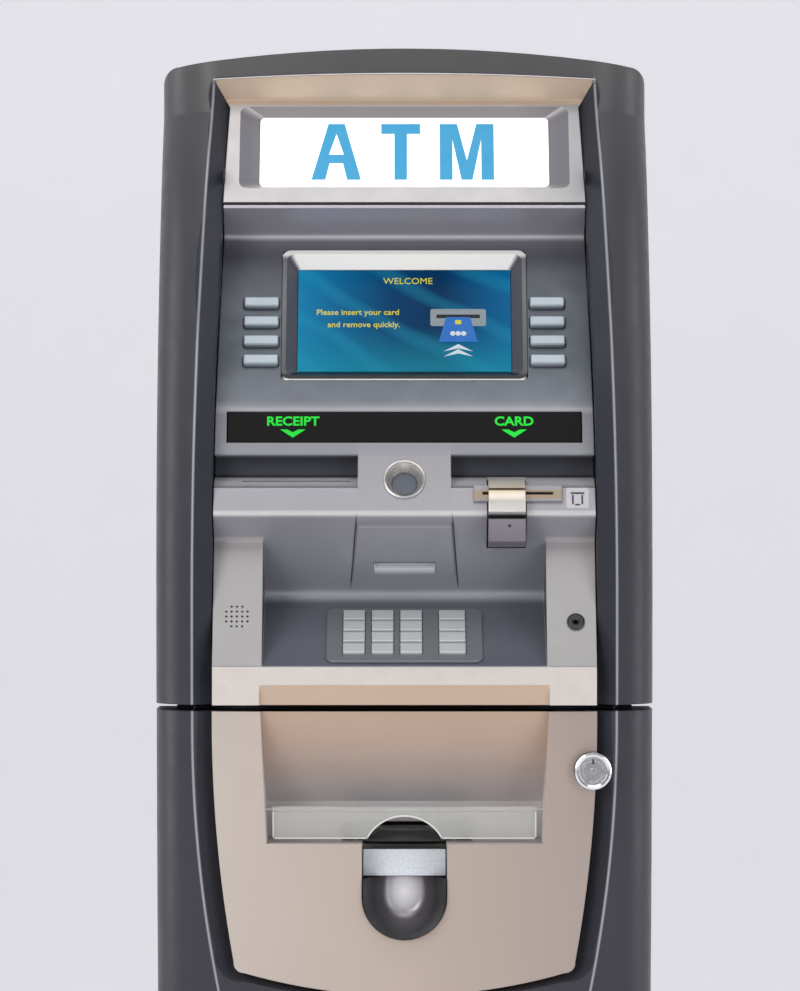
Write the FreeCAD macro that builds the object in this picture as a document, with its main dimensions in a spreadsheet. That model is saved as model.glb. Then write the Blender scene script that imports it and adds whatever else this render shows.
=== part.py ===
import FreeCAD, Part
import math
import os
import re
import Sketcher

# Free-standing retail cash machine, in millimetres.
# Front is -Y, +X is to the right of a person standing at the machine, +Z is up.
# The origin is on the floor, at the middle of the machine's outline.
# The lower half is a steel safe whose door carries a moulded cover with the cash tray.
# The upper half is a sheet-steel head whose front is a door carrying the sign, screen,
# card reader, printer and keypad. Both fronts hinge on one vertical line at the left.

doc = FreeCAD.newDocument("cash_machine")
sheet = doc.addObject("Spreadsheet::Sheet", "dims")

DIMENSIONS = {
    # whole machine
    "shell_w": 405, "overall_d": 570, "crown_z": 1418, "hood_side_z": 1404, "hood_corner": 14,
    # steel cabinets
    "cab_w": 380, "safe_front": -157, "safe_top": 868, "safe_wall": 5, "head_front": -54,
    "head_bottom": 868, "head_top": 1398, "head_wall": 1.5, "head_round": 30,
    # door hinges: one vertical line each, lift-off knuckles
    "hinge_x": -195, "safe_hinge_y": -164, "head_hinge_y": -62, "knuckle_r": 5, "pin_r": 2.5,
    "pin_play": 0.05, "leaf_len": 34, "leaf_gap": 0.4,
    # moulded shells
    "shell_wall": 3.5, "corner_r": 52, "lower_base": 12, "lower_top": 872, "lower_back": -172,
    "upper_base": 877, "upper_back": -70, "nose_z": 985, "front_y": -285, "lean_r": 600,
    "brow_z": 1366, "belly_r": 2400, "upper_bow": 2600, "lower_bow": 1400, "brow_corner_r": 50,
    "knee_z": 650, "foot_z": 400,
    # light front panels set into the shells
    "panel_w": 311, "crease_w": 344, "sign_top_w": 291, "cap_top_w": 318, "skin": 3,
    "bevel_depth": 15, "fit_gap": 0.5,
    "shield_low_w": 276, "shield_low_z": 660, "shield_tip_z": 641, "shield_corner": 8,
    # side section of the fascia: lip, keypad shelf, wall, ledge, strip, screen, sign
    "lip_z": 908, "lip_y": -283, "fold_z": 962, "fold_y": -186, "ledge_z": 1031, "ledge_y": -262,
    "strip_tilt": 24, "ridge_z": 1118, "screen_tilt": 30, "screen_top_z": 1262,
    "sign_z": 1288, "sign_y": -185, "sign_tilt": 32.7, "sign_len": 105,
    "column_w": 76, "groove_top_z": 1078, "groove_deep": 22, "groove_low_z": 1052,
    # pillars either side of the keypad
    "pillar_in": 115, "pillar_top_z": 1009, "pillar_tilt": 24.1,
    # screen and its keys
    "lcd_w": 177, "lcd_h": 99.6, "bezel_w": 203, "bezel_h": 126, "lcd_sink": 9,
    "softkey_w": 29, "softkey_h": 9.6, "softkey_rise": 4.5, "softkey_pitch": 18.6,
    "softkey_x": 118, "softkey_v": 44,
    # keypad
    "pad_w": 127, "pad_h": 84, "key_w": 17.7, "key_h": 14.4, "key_rise": 4, "key_pitch_x": 23.25,
    "key_pitch_y": 17.6, "fkey_w": 21.5, "key_row0_v": 28.6,
    # sign box
    "lens_w": 240, "lens_h": 71, "lens_sink": 7, "lens_v": 56.5,
    # cash tray and finger pocket
    "tray_w": 234, "tray_low_w": 222, "tray_top_z": 894, "tray_floor_z": 765, "tray_back_y": -206,
    "pocket_w": 68, "pocket_low_z": 687, "pocket_back_y": -236,
    # safe door
    "door_w": 308, "door_low_z": 44, "door_top_z": 836, "door_thick": 12, "door_proud": 2,
    "bolt_r": 9, "bolt_y": -128, "handle_z": 500, "dial_z": 610, "lock_x": 60,
    # note dispenser
    "disp_w": 196, "disp_low_z": 486, "disp_top_z": 800, "mouth_w": 84, "mouth_h": 18,
    "mouth_z": 757, "guard_pin_r": 1.2, "cass_w": 168, "cass_h": 170, "cass_len": 300,
    "roller_r": 15,
}

for row, (alias, value) in enumerate(DIMENSIONS.items(), start=1):
    sheet.set(f"A{row}", alias)
    sheet.set(f"B{row}", str(value))
    sheet.setAlias(f"B{row}", alias)
doc.recompute()
D = {alias: float(sheet.get(alias)) for alias in DIMENSIONS}
ALIAS = re.compile(r"\b(" + "|".join(sorted(D, key=len, reverse=True)) + r")\b")
V = FreeCAD.Vector
XY_PLANE, XZ_PLANE, YZ_PLANE = "XY_Plane", "XZ_Plane", "YZ_Plane"
nodes = []


# ---------------------------------------------------------------- document helpers

def num(expression):
    """The value of an expression over the sheet's aliases."""
    if isinstance(expression, (int, float)):
        return float(expression)
    return float(sheet.evalExpression(ALIAS.sub(r"dims.\1", expression)))


def bind(obj, **properties):
    """Binds properties to expressions over the sheet."""
    for name, expression in properties.items():
        if isinstance(expression, (int, float)):
            setattr(obj, name, expression)
        else:
            obj.setExpression(name, ALIAS.sub(r"dims.\1", expression))
    return obj


def place(obj, x, y, z, rotation=None):
    """Puts an object at a point given by expressions."""
    turn = rotation or FreeCAD.Rotation()
    obj.Placement = FreeCAD.Placement(V(num(x), num(y), num(z)), turn)
    for axis, expression in zip("xyz", (x, y, z)):
        if isinstance(expression, str):
            obj.setExpression(f"Placement.Base.{axis}", ALIAS.sub(r"dims.\1", expression))
    return obj


def box(x, y, z, dx, dy, dz):
    """A block from its low corner and its sizes."""
    block = doc.addObject("Part::Box", "block")
    bind(block, Length=dx, Width=dy, Height=dz)
    return place(block, x, y, z)


TURNS = {
    "x": FreeCAD.Rotation(V(0, 1, 0), 90),
    "y": FreeCAD.Rotation(V(1, 0, 0), -90),
    "z": FreeCAD.Rotation(),
}


def rod(x, y, z, axis, radius, length):
    """A cylinder from its low end along a global axis."""
    cylinder = doc.addObject("Part::Cylinder", "rod")
    bind(cylinder, Radius=radius, Height=length)
    return place(cylinder, x, y, z, TURNS[axis])


def fuse(*parts):
    joined = doc.addObject("Part::MultiFuse", "joined")
    joined.Shapes = list(parts)
    return joined


def cut(base, *tools):
    left = doc.addObject("Part::Cut", "left")
    left.Base = base
    left.Tool = tools[0] if len(tools) == 1 else fuse(*tools)
    return left


def feature(shape, name="formed"):
    """A shape made with Part's own functions, as an object of the document."""
    obj = doc.addObject("Part::Feature", name)
    obj.Shape = shape
    return obj


def solid_of(shape):
    """The largest solid of a shape."""
    return max(shape.Solids, key=lambda s: s.Volume)


def group(*parts):
    """Several separate solids that share one node."""
    compound = doc.addObject("Part::Compound", "group")
    compound.Links = list(parts)
    return compound


def node(obj, label):
    """Names a finished sub-part; its label names its file."""
    obj.Label = label
    nodes.append(obj)
    return obj


def sketch_outline(body, plane, points, offset=0):
    """A closed outline on one of the body's own planes, each corner bound to the sheet."""
    outline = body.newObject("Sketcher::SketchObject", "outline")
    support = next(f for f in body.Origin.OriginFeatures if f.Role == plane)
    outline.AttachmentSupport = [(support, "")]
    outline.MapMode = "FlatFace"
    if offset:
        outline.AttachmentOffset = FreeCAD.Placement(V(0, 0, num(offset)), FreeCAD.Rotation())
        outline.setExpression("AttachmentOffset.Base.z", ALIAS.sub(r"dims.\1", str(offset)))
    corners = [V(num(u), num(v), 0) for u, v in points]
    count = len(corners)
    for i in range(count):
        outline.addGeometry(Part.LineSegment(corners[i], corners[(i + 1) % count]))
    for i in range(count):
        outline.addConstraint(Sketcher.Constraint("Coincident", i, 2, (i + 1) % count, 1))
    for i, (u, v) in enumerate(points):
        for kind, expression, axis in (("DistanceX", u, -2), ("DistanceY", v, -1)):
            value = num(expression)
            if abs(value) < 1e-9:
                outline.addConstraint(Sketcher.Constraint("PointOnObject", i, 1, axis))
                continue
            index = outline.addConstraint(Sketcher.Constraint(kind, i, 1, value))
            if isinstance(expression, str):
                outline.setExpression(f"Constraints[{index}]", ALIAS.sub(r"dims.\1", expression))
    return outline


def rect(width, height, u=0, v=0):
    """Corners of a centred rectangle, as expressions."""
    return [
        (f"{u} - ({width})/2", f"{v} - ({height})/2"), (f"{u} + ({width})/2", f"{v} - ({height})/2"),
        (f"{u} + ({width})/2", f"{v} + ({height})/2"), (f"{u} - ({width})/2", f"{v} + ({height})/2"),
    ]


def pad(points, length, plane=XY_PLANE, offset=0, middle=False):
    """A body whose first feature is a pad of an outline."""
    body = doc.addObject("PartDesign::Body", "body")
    padded = body.newObject("PartDesign::Pad", "pad")
    padded.Profile = sketch_outline(body, plane, points, offset)
    padded.Midplane = middle
    bind(padded, Length=length)
    doc.recompute()
    return body


def pocket(body, points, length, plane=XY_PLANE, offset=0, reverse=False):
    """Cuts an outline into a body, and makes sure that it took something away."""
    before = body.Shape.Volume
    cutter = body.newObject("PartDesign::Pocket", "pocket")
    cutter.Profile = sketch_outline(body, plane, points, offset)
    cutter.Reversed = reverse
    bind(cutter, Length=length)
    doc.recompute()
    if body.Shape.Volume > before - 1e-6:
        raise RuntimeError(f"a pocket in {body.Label} cut nothing")
    return body


def soften(body, radius, chosen, kind="PartDesign::Fillet"):
    """Rounds or chamfers the edges for which chosen(edge) is true."""
    base = body.Tip
    names = [f"Edge{i}" for i, edge in enumerate(base.Shape.Edges, start=1) if chosen(edge)]
    dressed = body.newObject(kind, "soft_edge")
    dressed.Base = (base, names)
    bind(dressed, **{"Radius" if kind.endswith("Fillet") else "Size": radius})
    doc.recompute()
    return body


def turned(points, axis_role="Z_Axis"):
    """A body of revolution: points are radius and height pairs about the body's own Z."""
    body = doc.addObject("PartDesign::Body", "turned")
    spin = body.newObject("PartDesign::Revolution", "spin")
    spin.Profile = sketch_outline(body, XZ_PLANE, points)
    axis = next(f for f in body.Origin.OriginFeatures if f.Role == axis_role)
    spin.ReferenceAxis = (axis, [""])
    bind(spin, Angle=360)
    doc.recompute()
    return body


# ---------------------------------------------------------------- geometry helpers

def tilt_rotation(tilt):
    """Turns a flat part's own X, Y, Z to right, up the panel, out of the panel."""
    return FreeCAD.Rotation(V(1, 0, 0), 90 - tilt)


def on_panel(panel, u, v, w=0.0):
    """The point u to the right, v up the panel and w out of it."""
    y0, z0, tilt = panel
    lean = math.radians(tilt)
    return V(
        u,
        y0 + v * math.sin(lean) - w * math.cos(lean),
        z0 + v * math.cos(lean) + w * math.sin(lean),
    )


def stand(obj, panel, u, v, w=0.0):
    """Places a flat part on a leaning panel."""
    obj.Placement = FreeCAD.Placement(on_panel(panel, u, v, w), tilt_rotation(panel[2]))
    return obj


def rounded_path(corners):
    """Edges through (y, z, radius) corners in the YZ plane, each corner rounded to its radius."""
    points = [V(0, y, z) for y, z, _ in corners]
    edges = []
    start = points[0]
    for i in range(1, len(points) - 1):
        before = (points[i - 1] - points[i]).normalize()
        after = (points[i + 1] - points[i]).normalize()
        radius = corners[i][2]
        if radius <= 0:
            edges.append(Part.LineSegment(start, points[i]).toShape())
            start = points[i]
            continue
        half = before.getAngle(after) / 2
        reach = radius / math.tan(half)
        first, last = points[i] + before * reach, points[i] + after * reach
        bisector = (before + after).normalize()
        middle = points[i] + bisector * (radius / math.sin(half) - radius)
        if (first - start).Length > 1e-6:
            edges.append(Part.LineSegment(start, first).toShape())
        edges.append(Part.Arc(first, middle, last).toShape())
        start = last
    edges.append(Part.LineSegment(start, points[-1]).toShape())
    return edges


def skin_solid(corners, thickness, x_low, x_high):
    """A sheet that follows a side section between two X planes; thickness grows to the wire's left."""
    wire = Part.Wire(rounded_path(corners))
    face = wire.makeOffset2D(thickness, 0, True, True)
    face.translate(V(x_low, 0, 0))
    solid = face.extrude(V(x_high - x_low, 0, 0))
    return solid.Solids[0] if solid.Solids else solid


def prism_y(edges, y_low, y_high):
    """A solid from closed edges in the XZ plane, between two Y planes."""
    face = Part.Face(Part.Wire(Part.__sortEdges__(edges)))
    face.translate(V(0, y_low, 0))
    return face.extrude(V(0, y_high - y_low, 0))


def arc3(a, b, c):
    return Part.Arc(a, b, c).toShape()


def line(a, b):
    return Part.LineSegment(a, b).toShape()


def bulge(a, b, sag, side):
    """An arc from a to b in the XZ plane that stands sag off the chord, towards side."""
    return arc3(a, (a + b) * 0.5 + side * sag, b)


SCREEN = (
    D["ledge_y"] + (D["ridge_z"] - D["ledge_z"]) * math.tan(math.radians(D["strip_tilt"])),
    D["ridge_z"], D["screen_tilt"],
)
STRIP = (D["ledge_y"], D["ledge_z"], D["strip_tilt"])
SIGN = (D["sign_y"], D["sign_z"], D["sign_tilt"])
PILLAR = (D["lip_y"], D["lip_z"], D["pillar_tilt"])
SHELF_TILT = math.degrees(math.atan2(D["fold_y"] - D["lip_y"], D["fold_z"] - D["lip_z"]))
SHELF = (D["lip_y"], D["lip_z"], SHELF_TILT)
WALL_TILT = -math.degrees(math.atan2(D["fold_y"] - D["ledge_y"], D["ledge_z"] - D["fold_z"]))
WALL = (D["fold_y"], D["fold_z"], WALL_TILT)


# ---------------------------------------------------------------- steel cabinets and hinges

def leaf(axis_y, z_low, with_pin, x_end, front, thick):
    """One half of a lift-off hinge, its tail reaching to x_end on a mounting face."""
    length = D["leaf_len"]
    knuckle = Part.makeCylinder(D["knuckle_r"], length, V(D["hinge_x"], axis_y, z_low))
    tail = Part.makeBox(x_end - D["hinge_x"], thick, length, V(D["hinge_x"], front, z_low))
    shape = knuckle.fuse(tail)
    if with_pin:
        pin = Part.makeCylinder(
            D["pin_r"], 2 * length + D["leaf_gap"] - 2, V(D["hinge_x"], axis_y, z_low))
        return shape.fuse(pin)
    bore = Part.makeCylinder(D["pin_r"] + D["pin_play"], length, V(D["hinge_x"], axis_y, z_low))
    return shape.cut(bore)


SAFE_HINGES = (90, 430, 745)
COVER_HINGES = (230, 600)
HEAD_HINGES = (915, 1130, 1300)
LEAF_STEP = D["leaf_len"] + D["leaf_gap"]
HEAD_LOCK_Y = -95.0
LOCK_X, LOCK_Z = 152.0, 824.0
GUARD_Y, GUARD_Z = -260.0, 792.0


def safe_body():
    inner_w = "cab_w - 2*safe_wall"
    shell = cut(
        box("-cab_w/2", "safe_front", 0, "cab_w", "overall_d/2 - safe_front", "safe_top"),
        box("-cab_w/2 + safe_wall", "safe_front + safe_wall", "safe_wall", inner_w,
            "overall_d/2 - safe_front - 2*safe_wall", "safe_top - 2*safe_wall"),
        box("-door_w/2 - 4", "safe_front - 1", "door_low_z - 4", "door_w + 8", "safe_wall + 2",
            "door_top_z - door_low_z + 8"),
        *[rod(x, y, -1, "z", 8, "safe_wall + 2") for x in (-140, 140) for y in (-96, 224)],
        rod(120, "overall_d/2 - safe_wall - 1", 70, "y", 20, "safe_wall + 2"),
        rod(120, 200, "safe_top - safe_wall - 1", "z", 25, "safe_wall + 2"),
    )
    strikes = [
        box("door_w/2 + 5", "safe_front + safe_wall - 1", z - 22, 27,
            "bolt_y - bolt_r - 0.4 - safe_front - safe_wall + 1", 44)
        for z in BOLT_HEIGHTS
    ]
    rails = [
        box(x, -120, "disp_low_z - 6", "(cab_w - disp_w)/2 - safe_wall + 12", 380, 6)
        for x in ("-cab_w/2 + safe_wall - 1", "disp_w/2 - 11")
    ]
    front = D["safe_front"]
    leaves = [
        feature(leaf(D["safe_hinge_y"], z, True, -172, front - 5, 5.2)) for z in SAFE_HINGES
    ]
    notches = [(z - 2, z + 2 * LEAF_STEP + 2) for z in SAFE_HINGES + COVER_HINGES]
    skirt = feature(front_skirt(front + 1, D["lower_back"] + 1.5, 6, D["safe_top"] - 4, notches))
    node(fuse(shell, *strikes, *rails, *leaves, skirt), "safe_body")


def front_skirt(back, front, low, high, notches):
    """Thin rim that closes the seam behind a moulded front, notched for the hinges on the left."""
    half, thick = D["cab_w"] / 2 - 4, 2.0
    rim = Part.makeBox(2 * half, back - front, high - low, V(-half, front, low))
    deep = back - front + 2
    hole_low = V(-half + thick, front - 1, low + thick)
    rim = rim.cut(Part.makeBox(2 * (half - thick), deep, high - low - 2 * thick, hole_low))
    for notch_low, notch_high in notches:
        rim = rim.cut(Part.makeBox(20, deep, notch_high - notch_low, V(-half - 5, front - 1, notch_low)))
    return rim


BOLT_HEIGHTS = (180, 440, 700)


def head_cabinet():
    front, back = D["head_front"], D["overall_d"] / 2
    low, top, wall = D["head_bottom"], D["head_top"], D["head_wall"]
    half = D["cab_w"] / 2

    def hull(inset):
        block = Part.makeBox(
            2 * (half - inset), back - front + 40, top - low - 2 * inset,
            V(-half + inset, front - 40, low + inset))
        block = block.common(Part.makeBox(
            2 * half, back - front + 40 - inset, top, V(-half, front - 40, low)))
        edges = [
            e for e in block.Edges
            if abs(e.CenterOfMass.y - (back - inset)) < 0.1 and abs(e.CenterOfMass.z - (top - inset)) < 0.1
        ]
        return block.makeFillet(D["head_round"] - inset, edges)

    shell = hull(0).cut(hull(wall))
    keep = Part.makeBox(2 * half + 2, back - front + 1, top, V(-half - 1, front, low - 1))
    shell = shell.common(keep)
    frame = Part.makeBox(2 * half - 1, 1.5, top - low - 1, V(-half + 0.5, front, low + 0.5))
    frame = frame.cut(Part.makeBox(2 * half - 40, 4, top - low - 40, V(-half + 20, front - 1, low + 20)))
    shape = shell.fuse(frame)
    for x in range(-120, 121, 20):
        slot = Part.makeBox(8, 10, 60, V(x - 4, back - 5, 1230))
        shape = shape.cut(slot)
    shape = shape.cut(Part.makeCylinder(25, 10, V(120, 200, low - 2)))
    for z in HEAD_HINGES:
        shape = shape.fuse(leaf(D["head_hinge_y"], z, True, -176, front - 5, 5.2))
    notches = [(z - 2, z + 2 * LEAF_STEP + 2) for z in HEAD_HINGES]
    shape = shape.fuse(front_skirt(front + 1, D["upper_back"] + 1.5, low + 5, top - 4, notches))
    tongue = Part.makeBox(3, 14, 34, V(half - 11, front - 13, 1093))
    shape = shape.fuse(tongue)
    node(feature(solid_of(shape)), "head_cabinet")


# ---------------------------------------------------------------- moulded shells

def lean_y(z):
    """Front edge of the upper shell at height z: upright at the nose, then leaning back on an arc."""
    if z <= D["nose_z"]:
        return D["front_y"] + (D["nose_z"] - z) ** 2 / (2 * D["belly_r"])
    rise = min(z, D["brow_z"]) - D["nose_z"]
    return D["front_y"] + D["lean_r"] - math.sqrt(D["lean_r"] ** 2 - rise ** 2)


def side_solid(edges, half_width):
    face = Part.Face(Part.Wire(Part.__sortEdges__(edges)))
    face.translate(V(-half_width, 0, 0))
    return face.extrude(V(2 * half_width, 0, 0))


def plan_wire(z, front, half, back, corner, bow):
    """Outline of a shell in plan: a front bowed to a radius, round corners, straight sides."""
    centre_y = front + bow
    cx = half - corner
    cy = centre_y - math.sqrt((bow - corner) ** 2 - cx ** 2)
    grow = bow / (bow - corner)
    tangent = V(cx * grow, centre_y + (cy - centre_y) * grow, z)
    outward = (V(tangent.x - cx, tangent.y - cy, 0).normalize() + V(1, 0, 0)).normalize()
    middle = V(cx, cy, z) + outward * corner
    side = V(half, cy, z)

    def mirror(p):
        return V(-p.x, p.y, p.z)

    rear = V(half, back, z)
    return Part.Wire([
        line(mirror(rear), mirror(side)), arc3(mirror(side), mirror(middle), mirror(tangent)),
        arc3(mirror(tangent), V(0, front, z), tangent), arc3(tangent, middle, side),
        line(side, rear), line(rear, mirror(rear)),
    ])


def stack(levels, front_of, half, back, corner, bow, drop=0.0):
    """Solid through plan outlines at several heights."""
    wires = [plan_wire(z, front_of(z) + drop, half, back, corner, bow) for z in levels]
    return Part.makeLoft(wires, True, False)


def upper_outline(inset):
    """Solid of the upper shell's outside, or of its inside when inset by the wall."""
    base, brow = D["upper_base"] + inset, D["brow_z"]
    half = D["shell_w"] / 2 - inset
    back = D["upper_back"] + (1 if inset else 0)
    corner, bow = D["corner_r"] - inset, D["upper_bow"] - inset
    levels = [base, 930, D["nose_z"], 1060, 1140, 1220, 1290, 1330, brow]
    solid = stack(levels, lean_y, half, back, corner, bow, inset * 1.15)
    crown = D["crown_z"] + 10
    top_corner = D["brow_corner_r"] - inset
    hood = stack([brow - 20, crown], lambda z: lean_y(brow), half, back, top_corner, bow, inset)
    solid = solid.fuse(hood)
    side_z, middle_z, bend = D["hood_side_z"] - inset, D["crown_z"] - inset, D["hood_corner"] - inset
    left_low, right_low = V(-half - 1, 0, base - 1), V(half + 1, 0, base - 1)
    left_side, right_side = V(-half, 0, side_z - bend), V(half, 0, side_z - bend)
    left_top, right_top = V(-half + bend, 0, side_z), V(half - bend, 0, side_z)
    slant = bend * 0.29
    front = [
        line(left_low, left_side + V(-1, 0, 0)), line(left_side + V(-1, 0, 0), left_side),
        arc3(left_side, V(-half + slant, 0, side_z - slant), left_top),
        bulge(left_top, right_top, middle_z - side_z, V(0, 0, 1)),
        arc3(right_top, V(half - slant, 0, side_z - slant), right_side),
        line(right_side, right_side + V(1, 0, 0)), line(right_side + V(1, 0, 0), right_low),
        line(right_low, left_low),
    ]
    return solid.common(prism_y(front, -400, back + 1))


def panel_half(z, grow=0.0):
    """Half width of the light front panel at height z in the upper shell."""
    share = max(0.0, (z - 1000) / (1370 - 1000))
    return D["panel_w"] / 2 - (D["panel_w"] - D["sign_top_w"]) / 2 * share ** 2 + grow


def opening_half(z):
    """Half width of the opening at height z: it widens over the cap to meet the hood's crease."""
    if z <= 1370:
        return panel_half(z)
    foot = panel_half(1370)
    return foot + (D["cap_top_w"] / 2 - foot) * (z - 1370) / 23


def crease_half(z):
    """Half width of the crease where the outer shell turns inward, at height z."""
    share = max(0.0, (z - 950) / (1392 - 950))
    return D["crease_w"] / 2 - (D["crease_w"] - D["cap_top_w"]) / 2 * share ** 2


def upper_opening(grow, y_low, y_high, foot):
    """The opening for the light front panels, seen from the front."""
    cap = D["cap_top_w"] / 2 + grow
    side = [V(panel_half(z, grow), 0, z) for z in (foot, 1000, 1190, 1370)]
    corner = V(cap, 0, 1393 + grow)
    mirrored = [V(-p.x, 0, p.z) for p in side]
    left_corner = V(-cap, 0, 1393 + grow)
    edges = [
        line(side[0], side[1]), arc3(side[1], side[2], side[3]), line(side[3], corner),
        bulge(corner, left_corner, 4.5, V(0, 0, 1)),
        line(left_corner, mirrored[3]), arc3(mirrored[3], mirrored[2], mirrored[1]),
        line(mirrored[1], mirrored[0]), line(mirrored[0], side[0]),
    ]
    return prism_y(edges, y_low, y_high)


def bevel_cutter(side, grow=0.0):
    """Wedge that turns the opening's upright edge into a wide inward bevel."""
    wires = []
    for z in (D["upper_base"] - 4, 930, 985, 1080, 1180, 1280, 1340, 1370, 1390.3):
        outer, inner = crease_half(z) + grow, opening_half(z) - 2
        face = lean_y(z)
        slope = D["bevel_depth"] / (crease_half(z) - panel_half(min(z, 1370)))
        front = face + 7 - 16 * slope
        points = [
            V(side * (outer + 16), front, z), V(side * inner, front, z),
            V(side * inner, face + 7 + (outer - inner) * slope, z), V(side * (outer + 16), front, z),
        ]
        wires.append(Part.makePolygon(points))
    return Part.makeLoft(wires, True, False)


def head_shell():
    outer = upper_outline(0)
    inner = upper_outline(D["shell_wall"])
    return_wall = upper_opening(D["shell_wall"], -400, -150, D["upper_base"] - 5)
    room = inner.cut(return_wall)
    for side in (-1, 1):
        room = room.cut(bevel_cutter(side, D["shell_wall"] + 1))
    shape = outer.cut(room)
    shape = shape.cut(upper_opening(D["fit_gap"], -400, 0, D["upper_base"] - 5))
    for side in (-1, 1):
        shape = shape.cut(bevel_cutter(side))
    lock_hole = Part.makeCylinder(10, 20, V(D["shell_w"] / 2 - 10, HEAD_LOCK_Y, 1110), V(1, 0, 0))
    shape = shape.cut(lock_hole)
    node(feature(solid_of(shape)), "head_shell")


def lower_front(z):
    """Front edge of the lower shell at height z."""
    knee, foot = D["knee_z"], D["foot_z"]
    if z >= knee:
        return D["front_y"] + (D["nose_z"] - z) ** 2 / (2 * D["belly_r"])
    slope = (D["nose_z"] - knee) / D["belly_r"]
    at_knee = D["front_y"] + (D["nose_z"] - knee) ** 2 / (2 * D["belly_r"])
    run = min(knee - z, knee - foot)
    return at_knee + slope * run - slope * run ** 2 / (2 * (knee - foot))


def lower_outline(inset):
    base, top = D["lower_base"] + inset, D["lower_top"] - inset
    back = D["lower_back"] + (1 if inset else 0)
    half, corner, bow = D["shell_w"] / 2 - inset, D["corner_r"] - inset, D["lower_bow"] - inset
    upper = stack([D["foot_z"], 480, 560, D["knee_z"], 740, 810, top], lower_front, half, back, corner, bow,
                  inset)
    lower = stack([base, D["foot_z"]], lambda z: lower_front(D["foot_z"]), half, back, corner, bow, inset)
    return upper.fuse(lower)


def shield_edges(grow, tip_drop):
    """Shield-shaped outline in the XZ plane: straight at the seam, narrowing down to a curved foot."""
    top_z, low_z = D["lower_top"] + 5, D["shield_low_z"] - grow * 0.5
    top, low = D["panel_w"] / 2 + grow, D["shield_low_w"] / 2 + grow
    tip_z = D["shield_tip_z"] - tip_drop
    corner = D["shield_corner"] + grow
    shoulder = V(top, 0, D["lower_top"] - 20)
    right_low = V(low + 0.4, 0, low_z + corner)
    foot_right = V(low - corner, 0, low_z - 1)
    elbow = V(low - corner * 0.24, 0, low_z + corner * 0.18)
    share = (shoulder.z - right_low.z) * 0.5
    belly = V(top - (top - low) * 0.27, 0, shoulder.z - share)

    def mirror(p):
        return V(-p.x, 0, p.z)

    return [
        line(V(top, 0, top_z), shoulder), arc3(shoulder, belly, right_low),
        arc3(right_low, elbow, foot_right),
        arc3(foot_right, V(0, 0, tip_z), mirror(foot_right)),
        arc3(mirror(foot_right), mirror(elbow), mirror(right_low)),
        arc3(mirror(right_low), mirror(belly), mirror(shoulder)),
        line(mirror(shoulder), V(-top, 0, top_z)), line(V(-top, 0, top_z), V(top, 0, top_z)),
    ]


def shield_funnel(grow=0.0):
    """Wide bevel round the shield, following the front surface's lean."""
    lean = math.degrees(math.atan2(lower_front(D["knee_z"]) - lower_front(D["lower_top"]),
                                   D["lower_top"] - D["knee_z"]))
    widen = (D["crease_w"] - D["panel_w"]) / 2
    wires = []
    for share, depth in ((2.0, -8), (-0.1, 23.5)):
        wire = Part.Wire(Part.__sortEdges__(shield_edges(widen * share + grow, 3 * share)))
        wire.translate(V(0, lower_front(D["lower_top"]) + depth, 0))
        wires.append(wire)
    funnel = Part.makeLoft(wires, True, True)
    funnel.rotate(V(0, lower_front(D["lower_top"]), D["lower_top"]), V(1, 0, 0), lean)
    return funnel


def lower_shell():
    outer = lower_outline(0)
    inner = lower_outline(D["shell_wall"])
    ring = prism_y(shield_edges(D["shell_wall"], 0), -400, -254)
    room = inner.cut(ring).cut(shield_funnel(D["shell_wall"] + 1))
    shape = outer.cut(room)
    shape = shape.cut(prism_y(shield_edges(D["fit_gap"], 0), -400, -200))
    shape = shape.cut(shield_funnel())
    shape = shape.cut(Part.makeCylinder(13.4, 60, V(LOCK_X, -300, LOCK_Z), V(0, 1, 0)))
    solid = max(shape.Solids, key=lambda s: s.Volume)
    lip = prism_y([
        line(V(-186, 0, 871), V(186, 0, 871)), line(V(186, 0, 871), V(186, 0, 874.5)),
        line(V(186, 0, 874.5), V(-186, 0, 874.5)), line(V(-186, 0, 874.5), V(-186, 0, 871)),
    ], -222, -174)
    solid = solid.fuse(lip)
    for z in COVER_HINGES:
        solid = solid.fuse(cover_leaf(z + LEAF_STEP))
    node(feature(solid_of(solid)), "lower_shell")


def cover_leaf(z):
    """Bored knuckle of the lower cover, on a tab from the shell's side wall."""
    length = D["leaf_len"]
    axis_y, x = D["safe_hinge_y"], D["hinge_x"]
    knuckle = Part.makeCylinder(D["knuckle_r"], length, V(x, axis_y, z))
    wall = -D["shell_w"] / 2 + 1
    tab = Part.makeBox(x + 0.5 - wall, 16, length, V(wall, axis_y - 20, z))
    shape = knuckle.fuse(tab)
    return shape.cut(Part.makeCylinder(D["pin_r"] + D["pin_play"], length, V(x, axis_y, z)))


# ---------------------------------------------------------------- fascia

def fascia_side():
    """Side section of the fascia beside the middle column, from the seam up to the sign."""
    strip = math.tan(math.radians(D["strip_tilt"]))
    lean = math.tan(math.radians(D["screen_tilt"]))
    ledge_y, ledge_z = D["ledge_y"], D["ledge_z"]

    def strip_y(z):
        return ledge_y + (z - ledge_z) * strip

    low, top, deep = D["groove_low_z"], D["groove_top_z"], D["groove_deep"]
    screen_top_y = SCREEN[0] + (D["screen_top_z"] - SCREEN[1]) * lean
    head = [
        (SCREEN[0], SCREEN[1], 14), (screen_top_y, D["screen_top_z"], 5),
        (D["sign_y"] - 1, D["sign_z"] - 5, 0),
    ]
    foot = [
        (D["lip_y"], D["upper_base"], 0), (D["lip_y"], D["lip_z"], 2.5),
        (D["fold_y"], D["fold_z"], 9), (ledge_y, ledge_z, 2.5),
    ]
    groove = [
        (strip_y(low), low, 1.5), (strip_y(top) + deep * 0.6, low + 9, 1),
        (strip_y(top) + deep, low + 10, 1), (strip_y(top) + deep, top + 3, 1), (strip_y(top), top, 1.2),
    ]
    return foot, groove, head


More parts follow.
